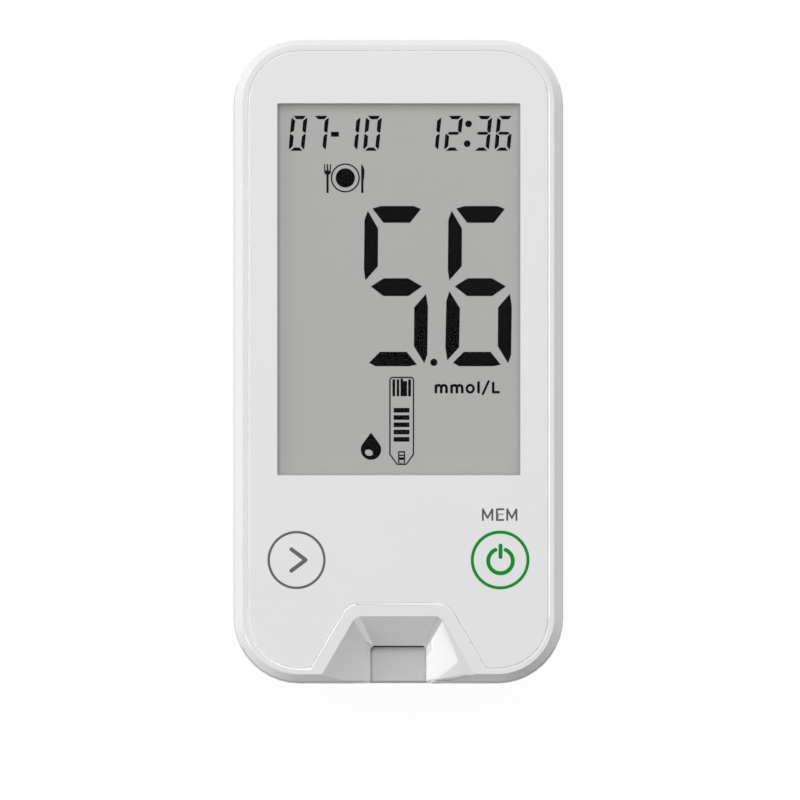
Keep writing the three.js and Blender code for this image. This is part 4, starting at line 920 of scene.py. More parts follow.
def left_side(path, half):
    """The left side of a line through the points of path, and its far end."""
    points = [Vector(point) for point in path]
    ways = [(b - a).normalized() for a, b in zip(points, points[1:])]
    lefts = [Vector((-way.y, way.x)) for way in ways]
    outline = [tuple(points[0] + lefts[0] * half)]
    for point, before, after in zip(points[1:-1], lefts, lefts[1:]):
        turn = math.atan2(before.x * after.y - before.y * after.x, before.dot(after))
        if turn > -math.radians(STROKE_STEP):
            between = (before + after).normalized()
            outline.append(tuple(point + between * half / math.cos(turn / 2)))
        else:
            first = heading(before)
            outline += round_part(point, half, first, first + math.degrees(turn))
    outline.append(tuple(points[-1] + lefts[-1] * half))
    last = heading(lefts[-1])
    return outline + round_part(points[-1], half, last, last - 180)[1:-1]


def stroke(path, width):
    """The outline of a line through the points of path, with round ends and round outer corners."""
    return left_side(path, width / 2) + left_side(path[::-1], width / 2)


print("a short line has", len(stroke([(0, 0), (1, 0)], 0.3)), "points")

# %% Marks on the buttons
PRINT_HEIGHT = 0.010
ARROW_WIDTH = 0.6
ARROW_TIP = (-14.114, -30.19)
ARROW_REACH = (2.18, 1.63)
POWER_WIDTH = 0.61
POWER_RADIUS = 1.87
POWER_GAP = 24.3
POWER_CENTRE = (15.556, -30.34)
POWER_STEM = (-27.99, -29.74)

print_top = face + PRINT_HEIGHT
tip_x, tip_y = ARROW_TIP
reach_x, reach_y = ARROW_REACH
arrow_path = [(tip_x - reach_x, tip_y + reach_y), ARROW_TIP, (tip_x - reach_x, tip_y - reach_y)]
arrow_mark = flat_shape("arrow_mark", [stroke(arrow_path, ARROW_WIDTH)], face, print_top)
power_arc = arc(*POWER_CENTRE, POWER_RADIUS, 90 - POWER_GAP, -270 + POWER_GAP)
power_stem = [(POWER_CENTRE[0], y) for y in POWER_STEM]
power_lines = [stroke(path, POWER_WIDTH) for path in (power_arc, power_stem)]
power_mark = flat_shape("power_mark", power_lines, face, print_top)
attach(arrow_mark, "arrow_button")
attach(power_mark, "power_button")
print("marks end at", round(print_top, 3), "mm")

# %% Label
LABEL_WIDTH = 0.28
LABEL_BASE = -24.10
LABEL_TOP = -22.46
LABEL_WAIST = -23.8
M_PLACES = ((12.866, 1.44), (16.576, 1.40))
E_SIDES = (15.006, 15.996)
BAR_SIDES = (15.286, 15.856)


def letter_m(left, wide):
    """A capital M as one line: up, down to the waist, up and down."""
    right = left + wide
    waist = ((left + right) / 2, LABEL_WAIST)
    return [(left, LABEL_BASE), (left, LABEL_TOP), waist, (right, LABEL_TOP), (right, LABEL_BASE)]


e_left, e_right = E_SIDES
label_e = [(e_right, LABEL_BASE), (e_left, LABEL_BASE), (e_left, LABEL_TOP), (e_right, LABEL_TOP)]
label_bar = [(x, (LABEL_BASE + LABEL_TOP) / 2) for x in BAR_SIDES]
label_lines = [*[letter_m(*place) for place in M_PLACES], label_e, label_bar]
memory_label = flat_shape("memory_label", [stroke(line, LABEL_WIDTH) for line in label_lines], face, print_top)
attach(memory_label, "case")
print("the label has", len(label_lines), "lines")

# %% [markdown]
# Display. Seven bars make a digit. The big reading has bars of its own drawing: heavy, with slanted ends and
# narrow gaps, so each bar is an outline of a few points, in millimetres from the foot of its digit. The small
# digits of the date and the clock are slimmer and lean to the right, which one factor does for all of them.

# %% Bars of the digits
BIG_BARS = {
    "top": [(1.29, 24.03), (2.58, 24.4), (7.62, 24.4), (8.68, 23.94), (7.02, 21.85), (2.95, 21.85)],
    "left_top": [(0.59, 23.66), (2.16, 20.97), (2.12, 15.21), (0.22, 13.08), (0, 14.75), (0.09, 22.31)],
    "middle": [(1.05, 12.16), (3.01, 13.4), (6.74, 13.4), (8.86, 12.16), (6.79, 10.68), (2.95, 10.68)],
    "right_bottom": [(9.45, 11.02), (9.75, 9.12), (9.64, 1.73), (9.19, 0.44), (7.61, 3.06), (7.66, 8.97)],
    "bottom": [(0.78, 0.53), (2.44, 2.19), (6.5, 2.19), (8.07, 0.25), (6.92, 0), (1.75, 0)],
    "left_bottom": [(0.24, 11.42), (1.85, 8.84), (1.72, 2.89), (-0.07, 0.9), (-0.37, 2.84), (-0.22, 9.95)],
}
SMALL_BARS = {
    "top": [(0.27, 5.33), (2.17, 5.33), (1.79, 4.80), (0.78, 4.80)],
    "left_top": [(0.08, 5.05), (0.61, 4.60), (0.58, 3.08), (0.17, 2.77), (0, 2.80), (0, 4.85)],
    "right_top": [(2.36, 5.05), (2.45, 4.76), (2.40, 2.77), (2.10, 2.80), (1.84, 3.08), (1.83, 4.57)],
    "middle": [(0.30, 2.66), (0.60, 2.89), (1.85, 2.89), (2.12, 2.66), (1.85, 2.44), (0.60, 2.44)],
    "left_bottom": [(0, 2.53), (0.17, 2.53), (0.59, 2.24), (0.60, 0.72), (0.20, 0.28), (0.01, 0.34)],
    "right_bottom": [(2.42, 2.53), (2.12, 2.53), (1.86, 2.17), (1.84, 0.72), (2.29, 0.19), (2.40, 0.40)],
    "bottom": [(0.29, 0), (2.12, 0), (1.63, 0.50), (0.81, 0.50)],
}
LIT_BARS = {
    "0": ("top", "left_top", "right_top", "left_bottom", "right_bottom", "bottom"),
    "1": ("right_top", "right_bottom"),
    "2": ("top", "right_top", "middle", "left_bottom", "bottom"),
    "3": ("top", "right_top", "middle", "right_bottom", "bottom"),
    "5": ("top", "left_top", "middle", "right_bottom", "bottom"),
    "6": ("top", "left_top", "middle", "left_bottom", "right_bottom", "bottom"),
    "7": ("top", "right_top", "right_bottom"),
}


def digits(bars, figures, y, lean=0.0):
    """The lit bars of figures, each given with the x of its foot."""
    return [
        [(x + px + lean * py, y + py) for px, py in bars[name]]
        for figure, x in figures
        for name in LIT_BARS[figure]
    ]


print("a big digit is", max(y for _, y in BIG_BARS["top"]), "mm high")

# %% [markdown]
# The shapes of the liquid crystal lie just over the front glass. The glass sits a hair to the left of where
# they were measured, so all of them move by that much.

# %% Picture in the display
SEGMENT_FLOAT = 0.008
SEGMENT_THICKNESS = 0.012
GLASS_SHIFT = -0.064
READING = (("5", -5.18), ("6", 7.59))
READING_BASE = -0.68
READING_DOT = (5.47, -0.09, 0.55)
DATE = (("0", -16.68), ("7", -13.40), ("1", -8.60), ("0", -5.34))
DATE_DASH = (-10.20, -9.0, 34.27, 35.03)
CLOCK = (("1", 3.72), ("2", 7.00), ("3", 11.45), ("6", 14.66))
CLOCK_DOTS = ((10.75, 36.23, 0.51), (10.54, 33.21, 0.51))
SMALL_BASE = 32.13
SMALL_LEAN = 0.0907

segment_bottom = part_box("lcd_front_glass")[1].z / MM + SEGMENT_FLOAT
segment_top = segment_bottom + SEGMENT_THICKNESS
segments = []


def show(name, outlines):
    shifted = [[(x + GLASS_SHIFT, y) for x, y in points] for points in outlines]
    piece = flat_shape(name, shifted, segment_bottom, segment_top)
    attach(piece, "case")
    segments.append(piece)
    print(name, "has", len(outlines), "outlines")


show("reading_digits", digits(BIG_BARS, READING, READING_BASE) + [circle(*READING_DOT)])
show("date_digits", digits(SMALL_BARS, DATE, SMALL_BASE, SMALL_LEAN) + [rectangle(*DATE_DASH)])
show("clock_digits", digits(SMALL_BARS, CLOCK, SMALL_BASE, SMALL_LEAN) + [circle(*dot) for dot in CLOCK_DOTS])

# %% [markdown]
# Below the digits stand four signs that such a display has: a plate with fork and knife, the unit, the test
# strip and the drop of blood.

# %% Meal sign
PLATE_X = -8.02
PLATE_Y = 28.0
PLATE_RADII = (2.21, 2.00, 1.465)
FORK = [
    (-10.885, 25.7), (-10.555, 25.7), (-10.555, 28.43), (-10.22, 28.75), (-10.195, 30.08), (-10.36, 30.08),
    (-10.39, 29.13), (-10.60, 29.13), (-10.62, 30.12), (-10.82, 30.12), (-10.84, 29.13), (-11.05, 29.13),
    (-11.08, 30.08), (-11.245, 30.08), (-11.22, 28.75), (-10.885, 28.43),
]
KNIFE = [
    (-5.60, 30.08), (-5.60, 25.7), (-5.25, 25.7), (-5.25, 27.68), (-5.15, 27.87), (-5.09, 29.13),
    (-5.28, 29.76),
]

show("meal_sign", [*[circle(PLATE_X, PLATE_Y, radius) for radius in PLATE_RADII], FORK, KNIFE])

# %% Unit sign
UNIT_STROKE = 0.41
UNIT_BASE = -4.63
UNIT_X_HEIGHT = -3.58
FOOT_STEP = 0.81
HALF_STROKE = UNIT_STROKE / 2
FLAT_TOP = 0.05
M_LEFTS = (5.78, 8.17)
O_X = 11.0
O_CIRCLES = ((0.70, 1.07), (0.325, 1.15))
UNIT_LINES = (
    ([(12.27, -3.17), (12.27, UNIT_BASE)], UNIT_STROKE),
    ([(12.92, -4.92), (13.82, -2.96)], 0.34),
    ([(14.50, -3.24), (14.50, UNIT_BASE), (15.33, UNIT_BASE)], 0.39),
)


def small_m(left):
    """A small m as one outline: three feet, the two arches between them, and the two humps above."""
    feet = [left, left + FOOT_STEP, left + 2 * FOOT_STEP]
    middles = [(feet[0] + feet[1]) / 2, (feet[1] + feet[2]) / 2]
    soles = [arc(foot, UNIT_BASE, HALF_STROKE, 180, 360) for foot in feet]
    opening = (feet[1] - feet[0]) / 2 - HALF_STROKE
    arches = [arc(x, UNIT_X_HEIGHT - HALF_STROKE - opening, opening, 180, 0) for x in middles]
    reach = (feet[1] - feet[0]) / 2 + HALF_STROKE
    crown = UNIT_X_HEIGHT + HALF_STROKE - reach
    meet = math.degrees(math.acos((feet[1] - feet[0]) / 2 / reach))
    right_hump = arc(middles[1], crown, reach, 0, 180 - meet)
    left_hump = arc(middles[0], crown, reach, meet, 180 - meet)
    stem_top = arc(feet[0], UNIT_X_HEIGHT - FLAT_TOP, HALF_STROKE, 100, 180)
    lower = soles[0] + arches[0] + soles[1] + arches[1] + soles[2]
    return lower + right_hump + left_hump[1:] + stem_top


def tall_circle(x, y, radius, stretch):
    return [(px, y + (py - y) * stretch) for px, py in circle(x, y, radius)]


show("unit_sign", [
    *[small_m(left) for left in M_LEFTS],
    *[tall_circle(O_X, (UNIT_BASE + UNIT_X_HEIGHT) / 2, *shape) for shape in O_CIRCLES],
    *[stroke(*line) for line in UNIT_LINES],
])

# %% Strip sign
STRIP_LEFT, STRIP_RIGHT = -1.32, 2.46
STRIP_TOP, STRIP_SHOULDER, STRIP_END = -2.28, -14.14, -15.72
STRIP_LINE = 0.2
STRIP_CORNER = 0.55
STRIP_BEND = 0.25
CUT_SHARE = 0.35
TIP_HALF_WIDTH = 0.72
CONTACTS = ((-0.84, -0.43), (-0.19, 0.19), (1.55, 1.98))
CONTACT_ENDS = (-5.25, -2.68)
WIDE_CONTACT = [(0.39, -5.25), (1.385, -5.25), (1.385, -2.94), (0.80, -2.94), (0.80, -2.55), (0.39, -2.55)]
BARS = 5
BAR_TOP, BAR_STEP, BAR_HEIGHT = -7.03, 1.107, 0.71
BAR_ENDS = (-0.66, 1.75)
TIP_FIELD = (0.03, 1.09, -15.46, -13.61)
TIP_SIDES = (0.21, 0.91)
TIP_ROWS = ((-14.14, -13.83), (-14.55, -14.34), (-15.38, -14.96))
strip_middle = (STRIP_LEFT + STRIP_RIGHT) / 2


def strip_border(inset):
    cut_in = inset * CUT_SHARE
    return rounded([
        (STRIP_LEFT + inset, STRIP_TOP - inset, STRIP_CORNER - inset),
        (STRIP_LEFT + inset, STRIP_SHOULDER + cut_in, STRIP_BEND),
        (strip_middle - TIP_HALF_WIDTH + cut_in, STRIP_END + inset, STRIP_BEND),
        (strip_middle + TIP_HALF_WIDTH - cut_in, STRIP_END + inset, STRIP_BEND),
        (STRIP_RIGHT - inset, STRIP_SHOULDER + cut_in, STRIP_BEND),
        (STRIP_RIGHT - inset, STRIP_TOP - inset, STRIP_CORNER - inset),
    ])


bar_tops = [BAR_TOP - BAR_STEP * k for k in range(BARS)]
show("strip_sign", [
    strip_border(0),
    strip_border(STRIP_LINE),
    *[rectangle(left, right, *CONTACT_ENDS) for left, right in CONTACTS],
    WIDE_CONTACT,
    *[rectangle(*BAR_ENDS, top - BAR_HEIGHT, top) for top in bar_tops],
    rectangle(*TIP_FIELD),
    *[rectangle(*TIP_SIDES, bottom, top) for bottom, top in TIP_ROWS],
])

# %% Drop sign
DROP_X = -4.11
DROP_Y = -13.38
DROP_RADIUS = 1.55
DROP_TIP = -10.78
GLEAM_PLACE = (-4.43, -13.85)
GLEAM_SIZE = (0.61, 0.47)
GLEAM_TILT = math.radians(-20)

lean = math.degrees(math.acos(DROP_RADIUS / (DROP_TIP - DROP_Y)))
drop = [(DROP_X, DROP_TIP)] + arc(DROP_X, DROP_Y, DROP_RADIUS, 90 + lean, 450 - lean)
gleam = []
for px, py in circle(0, 0, 1):
    wide, tall = GLEAM_SIZE[0] * px, GLEAM_SIZE[1] * py
    gleam.append((
        GLEAM_PLACE[0] + wide * math.cos(GLEAM_TILT) - tall * math.sin(GLEAM_TILT),
        GLEAM_PLACE[1] + wide * math.sin(GLEAM_TILT) + tall * math.cos(GLEAM_TILT),
    ))
show("drop_sign", [drop, gleam])

# %% [markdown]
# Now the inside. The board, the glasses and the reflector are plain plates and keep their CAD mesh. The
# connector, the frame, the switches, the chips, the contact plates and the screws are stamped or moulded
# parts whose edges are rounded, so they are copied and softened like the shells. Each copy rides on the body
# that its node is on.

# %% Softened inner parts
INNER_PARTS = {
    "lcd_frame": 0.12,
    "strip_connector": 0.1,
    **{f"strip_contact_{number}": 0.04 for number in range(1, 5)},
    "arrow_switch": 0.08,
    "arrow_plunger": 0.12,
    "power_switch": 0.08,
    "power_plunger": 0.12,
    "processor_chip": 0.06,
    "memory_chip": 0.06,
    "buzzer": 0.15,
    "link_plate": 0.08,
    "negative_plate": 0.08,
    "positive_plate": 0.08,
    "case_screw_left": 0.08,
    "case_screw_right": 0.08,
    "board_screw_top": 0.06,
    "board_screw_bottom": 0.06,
}
body_nodes = frame["record"]["behaviour"]["bodies"]
node_bodies = {node: body for body, nodes in body_nodes.items() for node in nodes}

inner = {}
for node, radius in INNER_PARTS.items():
    piece = copy_node(node, node + "_part")
    soften(piece, radius)
    smooth(piece)
    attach(piece, node_bodies[node])
    inner[node] = piece
print(len(inner), "inner parts softened")

# %% [markdown]
# Cells. An AAA cell is a drawn steel can in a printed sleeve. Both are turned shapes, so their half section
# is drawn as a line from the axis outwards and spun about the axis. The sleeve is shrunk over the edges of
# the can, which leaves the two poles bare. The heights of the foot are measured from the minus end of the
# cell, those of the shoulder from the shoulder, and those of the pole from the plus end.

# %% Cans and sleeves
CELL_SIDES = 64
CELL_RADIUS = 5.25
CAN_RADIUS = 5.15
POLE_RADIUS = 1.9
POLE_HEIGHT = 1.2
BAND_LENGTH = 9.5
FOOT_PROFILE = [
    (0, 0), (3.65, 0), (3.8, 0.08), (3.85, 0.3), (4.3, 0.35), (4.5, 0.22), (4.95, 0.22), (5.1, 0.35),
    (CAN_RADIUS, 0.6),
]
SHOULDER_PROFILE = [
    (CAN_RADIUS, -0.5), (5.08, -0.3), (4.95, -0.22), (4.55, -0.22), (4.4, -0.45), (2.7, -0.45), (2.35, -0.2),
    (POLE_RADIUS, -0.05),
]
POLE_PROFILE = [(POLE_RADIUS, -0.3), (1.8, -0.08), (1.6, 0), (0, 0)]
SLEEVE_PROFILE = [(4.55, 0.10), (5.0, 0.10), (5.18, 0.2), (CELL_RADIUS, 0.45)]


def spun(name, profile, x, z):
    """Spins a half section about a line along Y. Its points are (distance from the line, y)."""
    piece = as_mesh(name, new_curve(name, [[(x + reach, y, z) for reach, y in profile]], "3D"))
    open_all(piece)
    bpy.ops.mesh.spin(steps=CELL_SIDES, angle=2 * math.pi, center=(x * MM, 0, z * MM), axis=(0, 1, 0))
    return close_up(piece, MERGE)


def cell_at(key, node, way):
    """A cell in the place of its node. way is 1 when its plus pole points to +Y."""
    low_corner, high_corner = [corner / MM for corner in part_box(node)]
    axis = ((low_corner.x + high_corner.x) / 2, (low_corner.z + high_corner.z) / 2)
    foot = low_corner.y if way > 0 else high_corner.y
    length = high_corner.y - low_corner.y
    shoulder = length - POLE_HEIGHT

    def run(profile, start, turn=1):
        return [(reach, foot + way * (start + turn * height)) for reach, height in profile]

    can = run(FOOT_PROFILE, 0) + run(SHOULDER_PROFILE, shoulder) + run(POLE_PROFILE, length)
    band = run([(CELL_RADIUS, 0)], shoulder - BAND_LENGTH)
    sleeve = run(SLEEVE_PROFILE, 0) + band + run(SLEEVE_PROFILE[::-1], shoulder, -1)
    cell = {"axis": axis, "foot": foot, "shoulder": shoulder, "way": way}
    for part, profile in (("can", can), ("sleeve", sleeve)):
        piece = smooth(spun(f"cell_{part}_{key}", profile, *axis))
        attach(piece, "case")
        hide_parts(node)
        cell[part] = piece
    return cell


cells = {"left": cell_at("left", "battery_left", 1), "right": cell_at("right", "battery_right", -1)}
print("each cell has", sum(len(cells["left"][part].data.polygons) for part in ("can", "sleeve")), "faces")

# %% [markdown]
# The sleeve is printed with what every such cell says: its size, its voltage and which pole is which. The
# words are typed flat, made a mesh, and rolled round the cell: a point's height in the line becomes its angle
# round the axis.

# %% Printing on the sleeves
CELL_WORDS = (("AAA  1.5 V", 16.0, 3.4), ("+", 38.2, 5.0), ("-", 2.6, 5.0))
WORD_HEIGHT = 0.02
WORD_LIFT = 0.005
DOWN = -math.pi / 2


def roll_on(words, cell):
    """Rolls flat words onto a cell. Their line runs along the cell, at its side towards the door."""
    x, z = cell["axis"]
    way = cell["way"]
    for vertex in words.data.vertices:
        along, around, out = vertex.co
        angle = DOWN + way * around / (CELL_RADIUS * MM)
        reach = (CELL_RADIUS + WORD_LIFT) * MM + out
        vertex.co = (
            x * MM + reach * math.cos(angle),
            cell["foot"] * MM + way * along,
            z * MM + reach * math.sin(angle),
        )


for key, cell in cells.items():
    cell["words"] = []
    for number, (line, start, size) in enumerate(CELL_WORDS):
        typed = bpy.data.curves.new(f"cell_words_{key}_{number}", "FONT")
        typed.body = line
        typed.size = size * MM
        typed.align_y = "CENTER"
        typed.extrude = WORD_HEIGHT / 2 * MM
        words = as_mesh(typed.name, typed)
        open_all(words)
        bpy.ops.transform.translate(value=(start * MM, 0, WORD_HEIGHT / 2 * MM))
        bpy.ops.mesh.subdivide(number_cuts=1)
        bpy.ops.object.mode_set(mode="OBJECT")
        roll_on(words, cell)
        close_up(words)
        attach(words, "case")
        cell["words"].append(words)
print("words on each cell:", [line for line, _, _ in CELL_WORDS])

# %% [markdown]
# The contact springs are wire on a cone, wide at the plate and narrow at the cell, with half a closed turn at
# each end. A curve with a round bevel makes such a wire evenly thick, which an extruded circle wouldn't.

# %% Wire springs
WIRE_RADIUS = 0.28
WIRE_ROUNDNESS = 3
SPRING_WIDE = 3.3
SPRING_NARROW = 1.9
SPRING_TURNS = 4
SPRING_STEPS = 28
CLOSED_TURN = 0.5


def wire(name, points, radius):
    """A round wire along points in millimetres, made a mesh."""
    curve = new_curve(name, [points], "3D")
    curve.bevel_depth = radius * MM
    curve.bevel_resolution = WIRE_ROUNDNESS
    curve.use_fill_caps = True
    return smooth(close_up(as_mesh(name, curve)))


def contact_spring(node, cell):
    low_corner, high_corner = [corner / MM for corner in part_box(node)]
    way = cell["way"]
    base = low_corner.y if way > 0 else high_corner.y
    rise = high_corner.y - low_corner.y - 2 * WIRE_RADIUS
    x, z = cell["axis"]
    points = []
    for step in range(SPRING_TURNS * SPRING_STEPS + 1):
        turn = step / SPRING_STEPS
        share = min(max((turn - CLOSED_TURN) / (SPRING_TURNS - 2 * CLOSED_TURN), 0), 1)
        radius = SPRING_WIDE + (SPRING_NARROW - SPRING_WIDE) * turn / SPRING_TURNS
        angle = 2 * math.pi * turn
        points.append((
            x + way * radius * math.cos(angle),
            base + way * (WIRE_RADIUS + rise * share),
            z + radius * math.sin(angle),
        ))
    spring = wire(node + "_wire", points, WIRE_RADIUS)
    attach(spring, "case")
    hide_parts(node)
    return spring


springs = [
    contact_spring("battery_spring_bottom", cells["left"]),
    contact_spring("battery_spring_top", cells["right"]),
]
print("springs:", [len(spring.data.polygons) for spring in springs], "faces")

# %% [markdown]
# The chips stand on bent legs. One leg is a small block whose end is extruded outwards and down, and then
# outwards again for its foot on the board. The same steps make each leg along the sides of each chip, and the
# legs of one chip are joined into one piece.

# %% Legs of the chips
LEG_WIDTH = 0.22
LEG_THICKNESS = 0.12
LEG_ROOT = 0.2
LEG_DROP = 0.5
LEG_BENDS = ((0.12, 0.0), (0.16, 0.22), (0.14, 0.21), (0.3, 0.0))
BOARD_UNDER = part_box("main_board")[0].z / MM


def joined(name, pieces):
    bpy.ops.object.select_all(action="DESELECT")
    for piece in pieces:
        piece.select_set(True)
    bpy.context.view_layer.objects.active = pieces[0]
    bpy.ops.object.join()
    pieces[0].name = name
    return pieces[0]


def block(name, centre, size):
    """A block that later steps shape. Its size is applied, so the object stays unscaled."""
    bpy.ops.object.select_all(action="DESELECT")
    bpy.ops.mesh.primitive_cube_add(size=MM, location=[part * MM for part in centre])
    piece = bpy.context.object
    piece.name = name
    piece.scale = size
    bpy.ops.object.transform_apply(location=True, rotation=True, scale=True)
    return piece


def bent_leg(x, y, way, along_x):
    """A leg at a point of the chip's side. way is 1 or -1, and along_x tells if it points along X or Y."""
    size = (LEG_ROOT, LEG_WIDTH, LEG_THICKNESS) if along_x else (LEG_WIDTH, LEG_ROOT, LEG_THICKNESS)
    leg = block("leg", (x, y, BOARD_UNDER - LEG_DROP), size)
    axis = 0 if along_x else 1
    select_parts(leg, "FACE", lambda part: part.normal[axis] * way > FACING)
    for out, up in LEG_BENDS:
        move = [0, 0, up * MM]
        move[axis] = out * way * MM
        bpy.ops.mesh.extrude_region_move()
        bpy.ops.transform.translate(value=move)
    bpy.ops.object.mode_set(mode="OBJECT")
    return leg


def legs_round(name, node, counts):
    """Legs at the four sides of a chip, in numbers (on each side along X, on each end along Y)."""
    low_corner, high_corner = [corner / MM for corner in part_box(node)]
    legs = []
    for along_x, count in zip((True, False), counts):
        near, far = (low_corner.y, high_corner.y) if along_x else (low_corner.x, high_corner.x)
        for k in range(count):
            place = near + (far - near) * (k + 1) / (count + 1)
            for way in (-1, 1):
                edge = (high_corner if way > 0 else low_corner)[0 if along_x else 1]
                legs.append(bent_leg(*((edge, place) if along_x else (place, edge)), way, along_x))
    piece = joined(name, legs)
    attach(piece, "case")
    return piece


leg_sets = [
    legs_round("processor_legs", "processor_chip", (11, 11)),
    legs_round("memory_legs", "memory_chip", (4, 0)),
]
print("legs:", [len(piece.data.polygons) for piece in leg_sets], "faces")

# %% [markdown]
# The crystal is a drawn can with round ends and two thin leads. The tactile switches have a steel cover plate
# with a hole for the plunger. Small resistors and capacitors, with a tinned cap at each end, sit at the free
# ends of the board.

# %% Crystal
CRYSTAL_SIDES = 40
CRYSTAL_EDGE = 0.25
LEAD_RADIUS = 0.13
LEAD_OFFSET = 0.35
LEAD_ROOT = 0.05
LEAD_BENDS = ((0.7, 0.0), (1.0, 0.3))
LEAD_END = 1.05

crystal_low, crystal_high = [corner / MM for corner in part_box("clock_crystal")]
crystal_y = (crystal_low.y + crystal_high.y) / 2
crystal_z = (crystal_low.z + crystal_high.z) / 2
crystal_radius = (crystal_high.z - crystal_low.z) / 2
bpy.ops.object.select_all(action="DESELECT")
bpy.ops.mesh.primitive_cylinder_add(
    vertices=CRYSTAL_SIDES,
    radius=crystal_radius * MM,
    depth=(crystal_high.x - crystal_low.x) * MM,
    location=((crystal_low.x + crystal_high.x) / 2 * MM, crystal_y * MM, crystal_z * MM),
    rotation=(0, math.pi / 2, 0),
)
crystal = bpy.context.object
crystal.name = "crystal_can"
bpy.ops.object.transform_apply(location=True, rotation=True, scale=True)
soften(crystal, CRYSTAL_EDGE, segments=3)
smooth(crystal)
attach(crystal, "case")
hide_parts("clock_crystal")

leads = []
for offset in (-LEAD_OFFSET, LEAD_OFFSET):
    y = crystal_y + offset
    leads.append(wire("crystal_lead", [
        (crystal_low.x + LEAD_ROOT, y, crystal_z),
        *[(crystal_low.x - out, y, crystal_z + up) for out, up in LEAD_BENDS],
        (crystal_low.x - LEAD_END, y, BOARD_UNDER),
    ], LEAD_RADIUS))
crystal_leads = joined("crystal_leads", leads)
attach(crystal_leads, "case")
print("the crystal is", round(2 * crystal_radius, 2), "mm thick")

# %% Covers of the switches
COVER_HALF = 2.6
COVER_HOLE = 1.35
COVER_CORNER = 0.5
COVER_EDGE = 0.03
COVER_HEIGHTS = (0.01, 0.16)

covers = {}
for key, x in BUTTON_X.items():
    switch_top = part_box(key + "_switch")[1].z / MM
    sides = (x - COVER_HALF, x + COVER_HALF, BUTTON_Y - COVER_HALF, BUTTON_Y + COVER_HALF)
    covers[key] = flat_shape(
        key + "_switch_cover",
        [rectangle(*sides, COVER_CORNER), circle(x, BUTTON_Y, COVER_HOLE)],
        *[switch_top + height for height in COVER_HEIGHTS],
        rim=COVER_EDGE,
    )
    smooth(covers[key], plain=level)
    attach(covers[key], "case")
print(len(covers), "covers")

# %% Small parts
SMALL_LENGTH, SMALL_WIDTH, SMALL_HEIGHT = 1.6, 0.8, 0.5
SMALL_GAP = 0.02
TIN_LENGTH = 0.3
TIN_THICKNESS = 0.02
TIN_UNCOVERED = 0.5
BODY_EDGE = 0.03
TIN_EDGE = 0.05
SMALL_SPOTS = [
    (-13.0, 37.5), (-10.0, 37.5), (-7.0, 37.5), (7.0, 37.5), (10.0, 37.5), (13.0, 37.5),
    (-8.5, 35.0), (8.5, 35.0), (-5.0, -28.5), (-5.0, -36.8), (5.0, -28.5), (5.0, -36.8),
]

small_z = BOARD_UNDER - SMALL_GAP - SMALL_HEIGHT / 2
body_size = (SMALL_LENGTH - TIN_UNCOVERED, SMALL_WIDTH, SMALL_HEIGHT - 2 * TIN_THICKNESS)
tin_size = (TIN_LENGTH, SMALL_WIDTH + TIN_THICKNESS, SMALL_HEIGHT)
small_blocks, tin_blocks = [], []
for x, y in SMALL_SPOTS:
    small_blocks.append(block("small_body", (x, y, small_z), body_size))
    soften(small_blocks[-1], BODY_EDGE)
    for way in (-1, 1):
        tin_x = x + way * (SMALL_LENGTH / 2 - TIN_LENGTH / 2)
        tin_blocks.append(block("small_tin", (tin_x, y, small_z), tin_size))
        soften(tin_blocks[-1], TIN_EDGE)
small_bodies = smooth(joined("small_part_bodies", small_blocks))
small_tins = smooth(joined("small_part_ends", tin_blocks))
for piece, slot in ((small_bodies, "black_plastic"), (small_tins, "nickel")):
    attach(piece, "case")
print("small parts:", len(SMALL_SPOTS), "with", len(small_bodies.data.polygons), "faces")

# %% [markdown]
# Under its green varnish the board carries copper. The tracks and the tinned pads are flat shapes a few
# hundredths of a millimetre thick, drawn with the same outline of a line as the marks on the buttons. Seven
# tracks run between the buttons, five up the left side, three up the right one, and one along the top.

# %% Tracks and pads
TRACK_WIDTH = 0.25
COPPER = 0.03
VARNISH = 0.002
PAD_RADIUS = 0.24
PAD_OUT = 0.75
PAD_HALF = (0.35, 0.5)
PAD_CORNER = 0.1
PAD_HEIGHTS = (COPPER + 0.01, 0.001)

all_tracks = []
for shift in [0.55 * k for k in range(7)]:
    y = -28.4 - shift
    all_tracks.append([(-7.6, y), (-6.4 + shift / 2, y), (-4.6 + shift / 2, y + 1.8), (8.7, y + 1.8)])
for shift in [0.6 * k for k in range(5)]:
    x = -13.5 + shift
    all_tracks.append([(x, -26.3), (x, -23.5 + shift / 2), (x - 2, -21.5 + shift / 2), (x - 2, 35)])
for shift in [0.6 * k for k in range(3)]:
    x, y = 15.2 + shift, 36.2 - shift
    all_tracks.append([(x - 2.2, -22), (x, -19.8), (x, y - 2.2), (13, y), (11, y)])
all_tracks.append([(-13.0, 38.6), (-11.5, 40.1), (11.5, 40.1), (13.0, 38.6)])
heights = (BOARD_UNDER - COPPER, BOARD_UNDER - VARNISH)
strips = [flat_shape("track", [stroke(line, TRACK_WIDTH)], *heights) for line in all_tracks]
tracks = joined("board_tracks", strips)
pad_outlines = [circle(*end, PAD_RADIUS) for line in all_tracks for end in (line[0], line[-1])]
for x, y in SMALL_SPOTS:
    for centre in (x - PAD_OUT, x + PAD_OUT):
        half_wide, half_tall = PAD_HALF
        sides = (centre - half_wide, centre + half_wide, y - half_tall, y + half_tall)
        pad_outlines.append(rectangle(*sides, PAD_CORNER))
pads = flat_shape("board_pads", pad_outlines, *[BOARD_UNDER - height for height in PAD_HEIGHTS])
for piece, slot in ((tracks, "board"), (pads, "nickel")):
    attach(piece, "case")
print(len(all_tracks), "tracks and", len(pad_outlines), "pads")

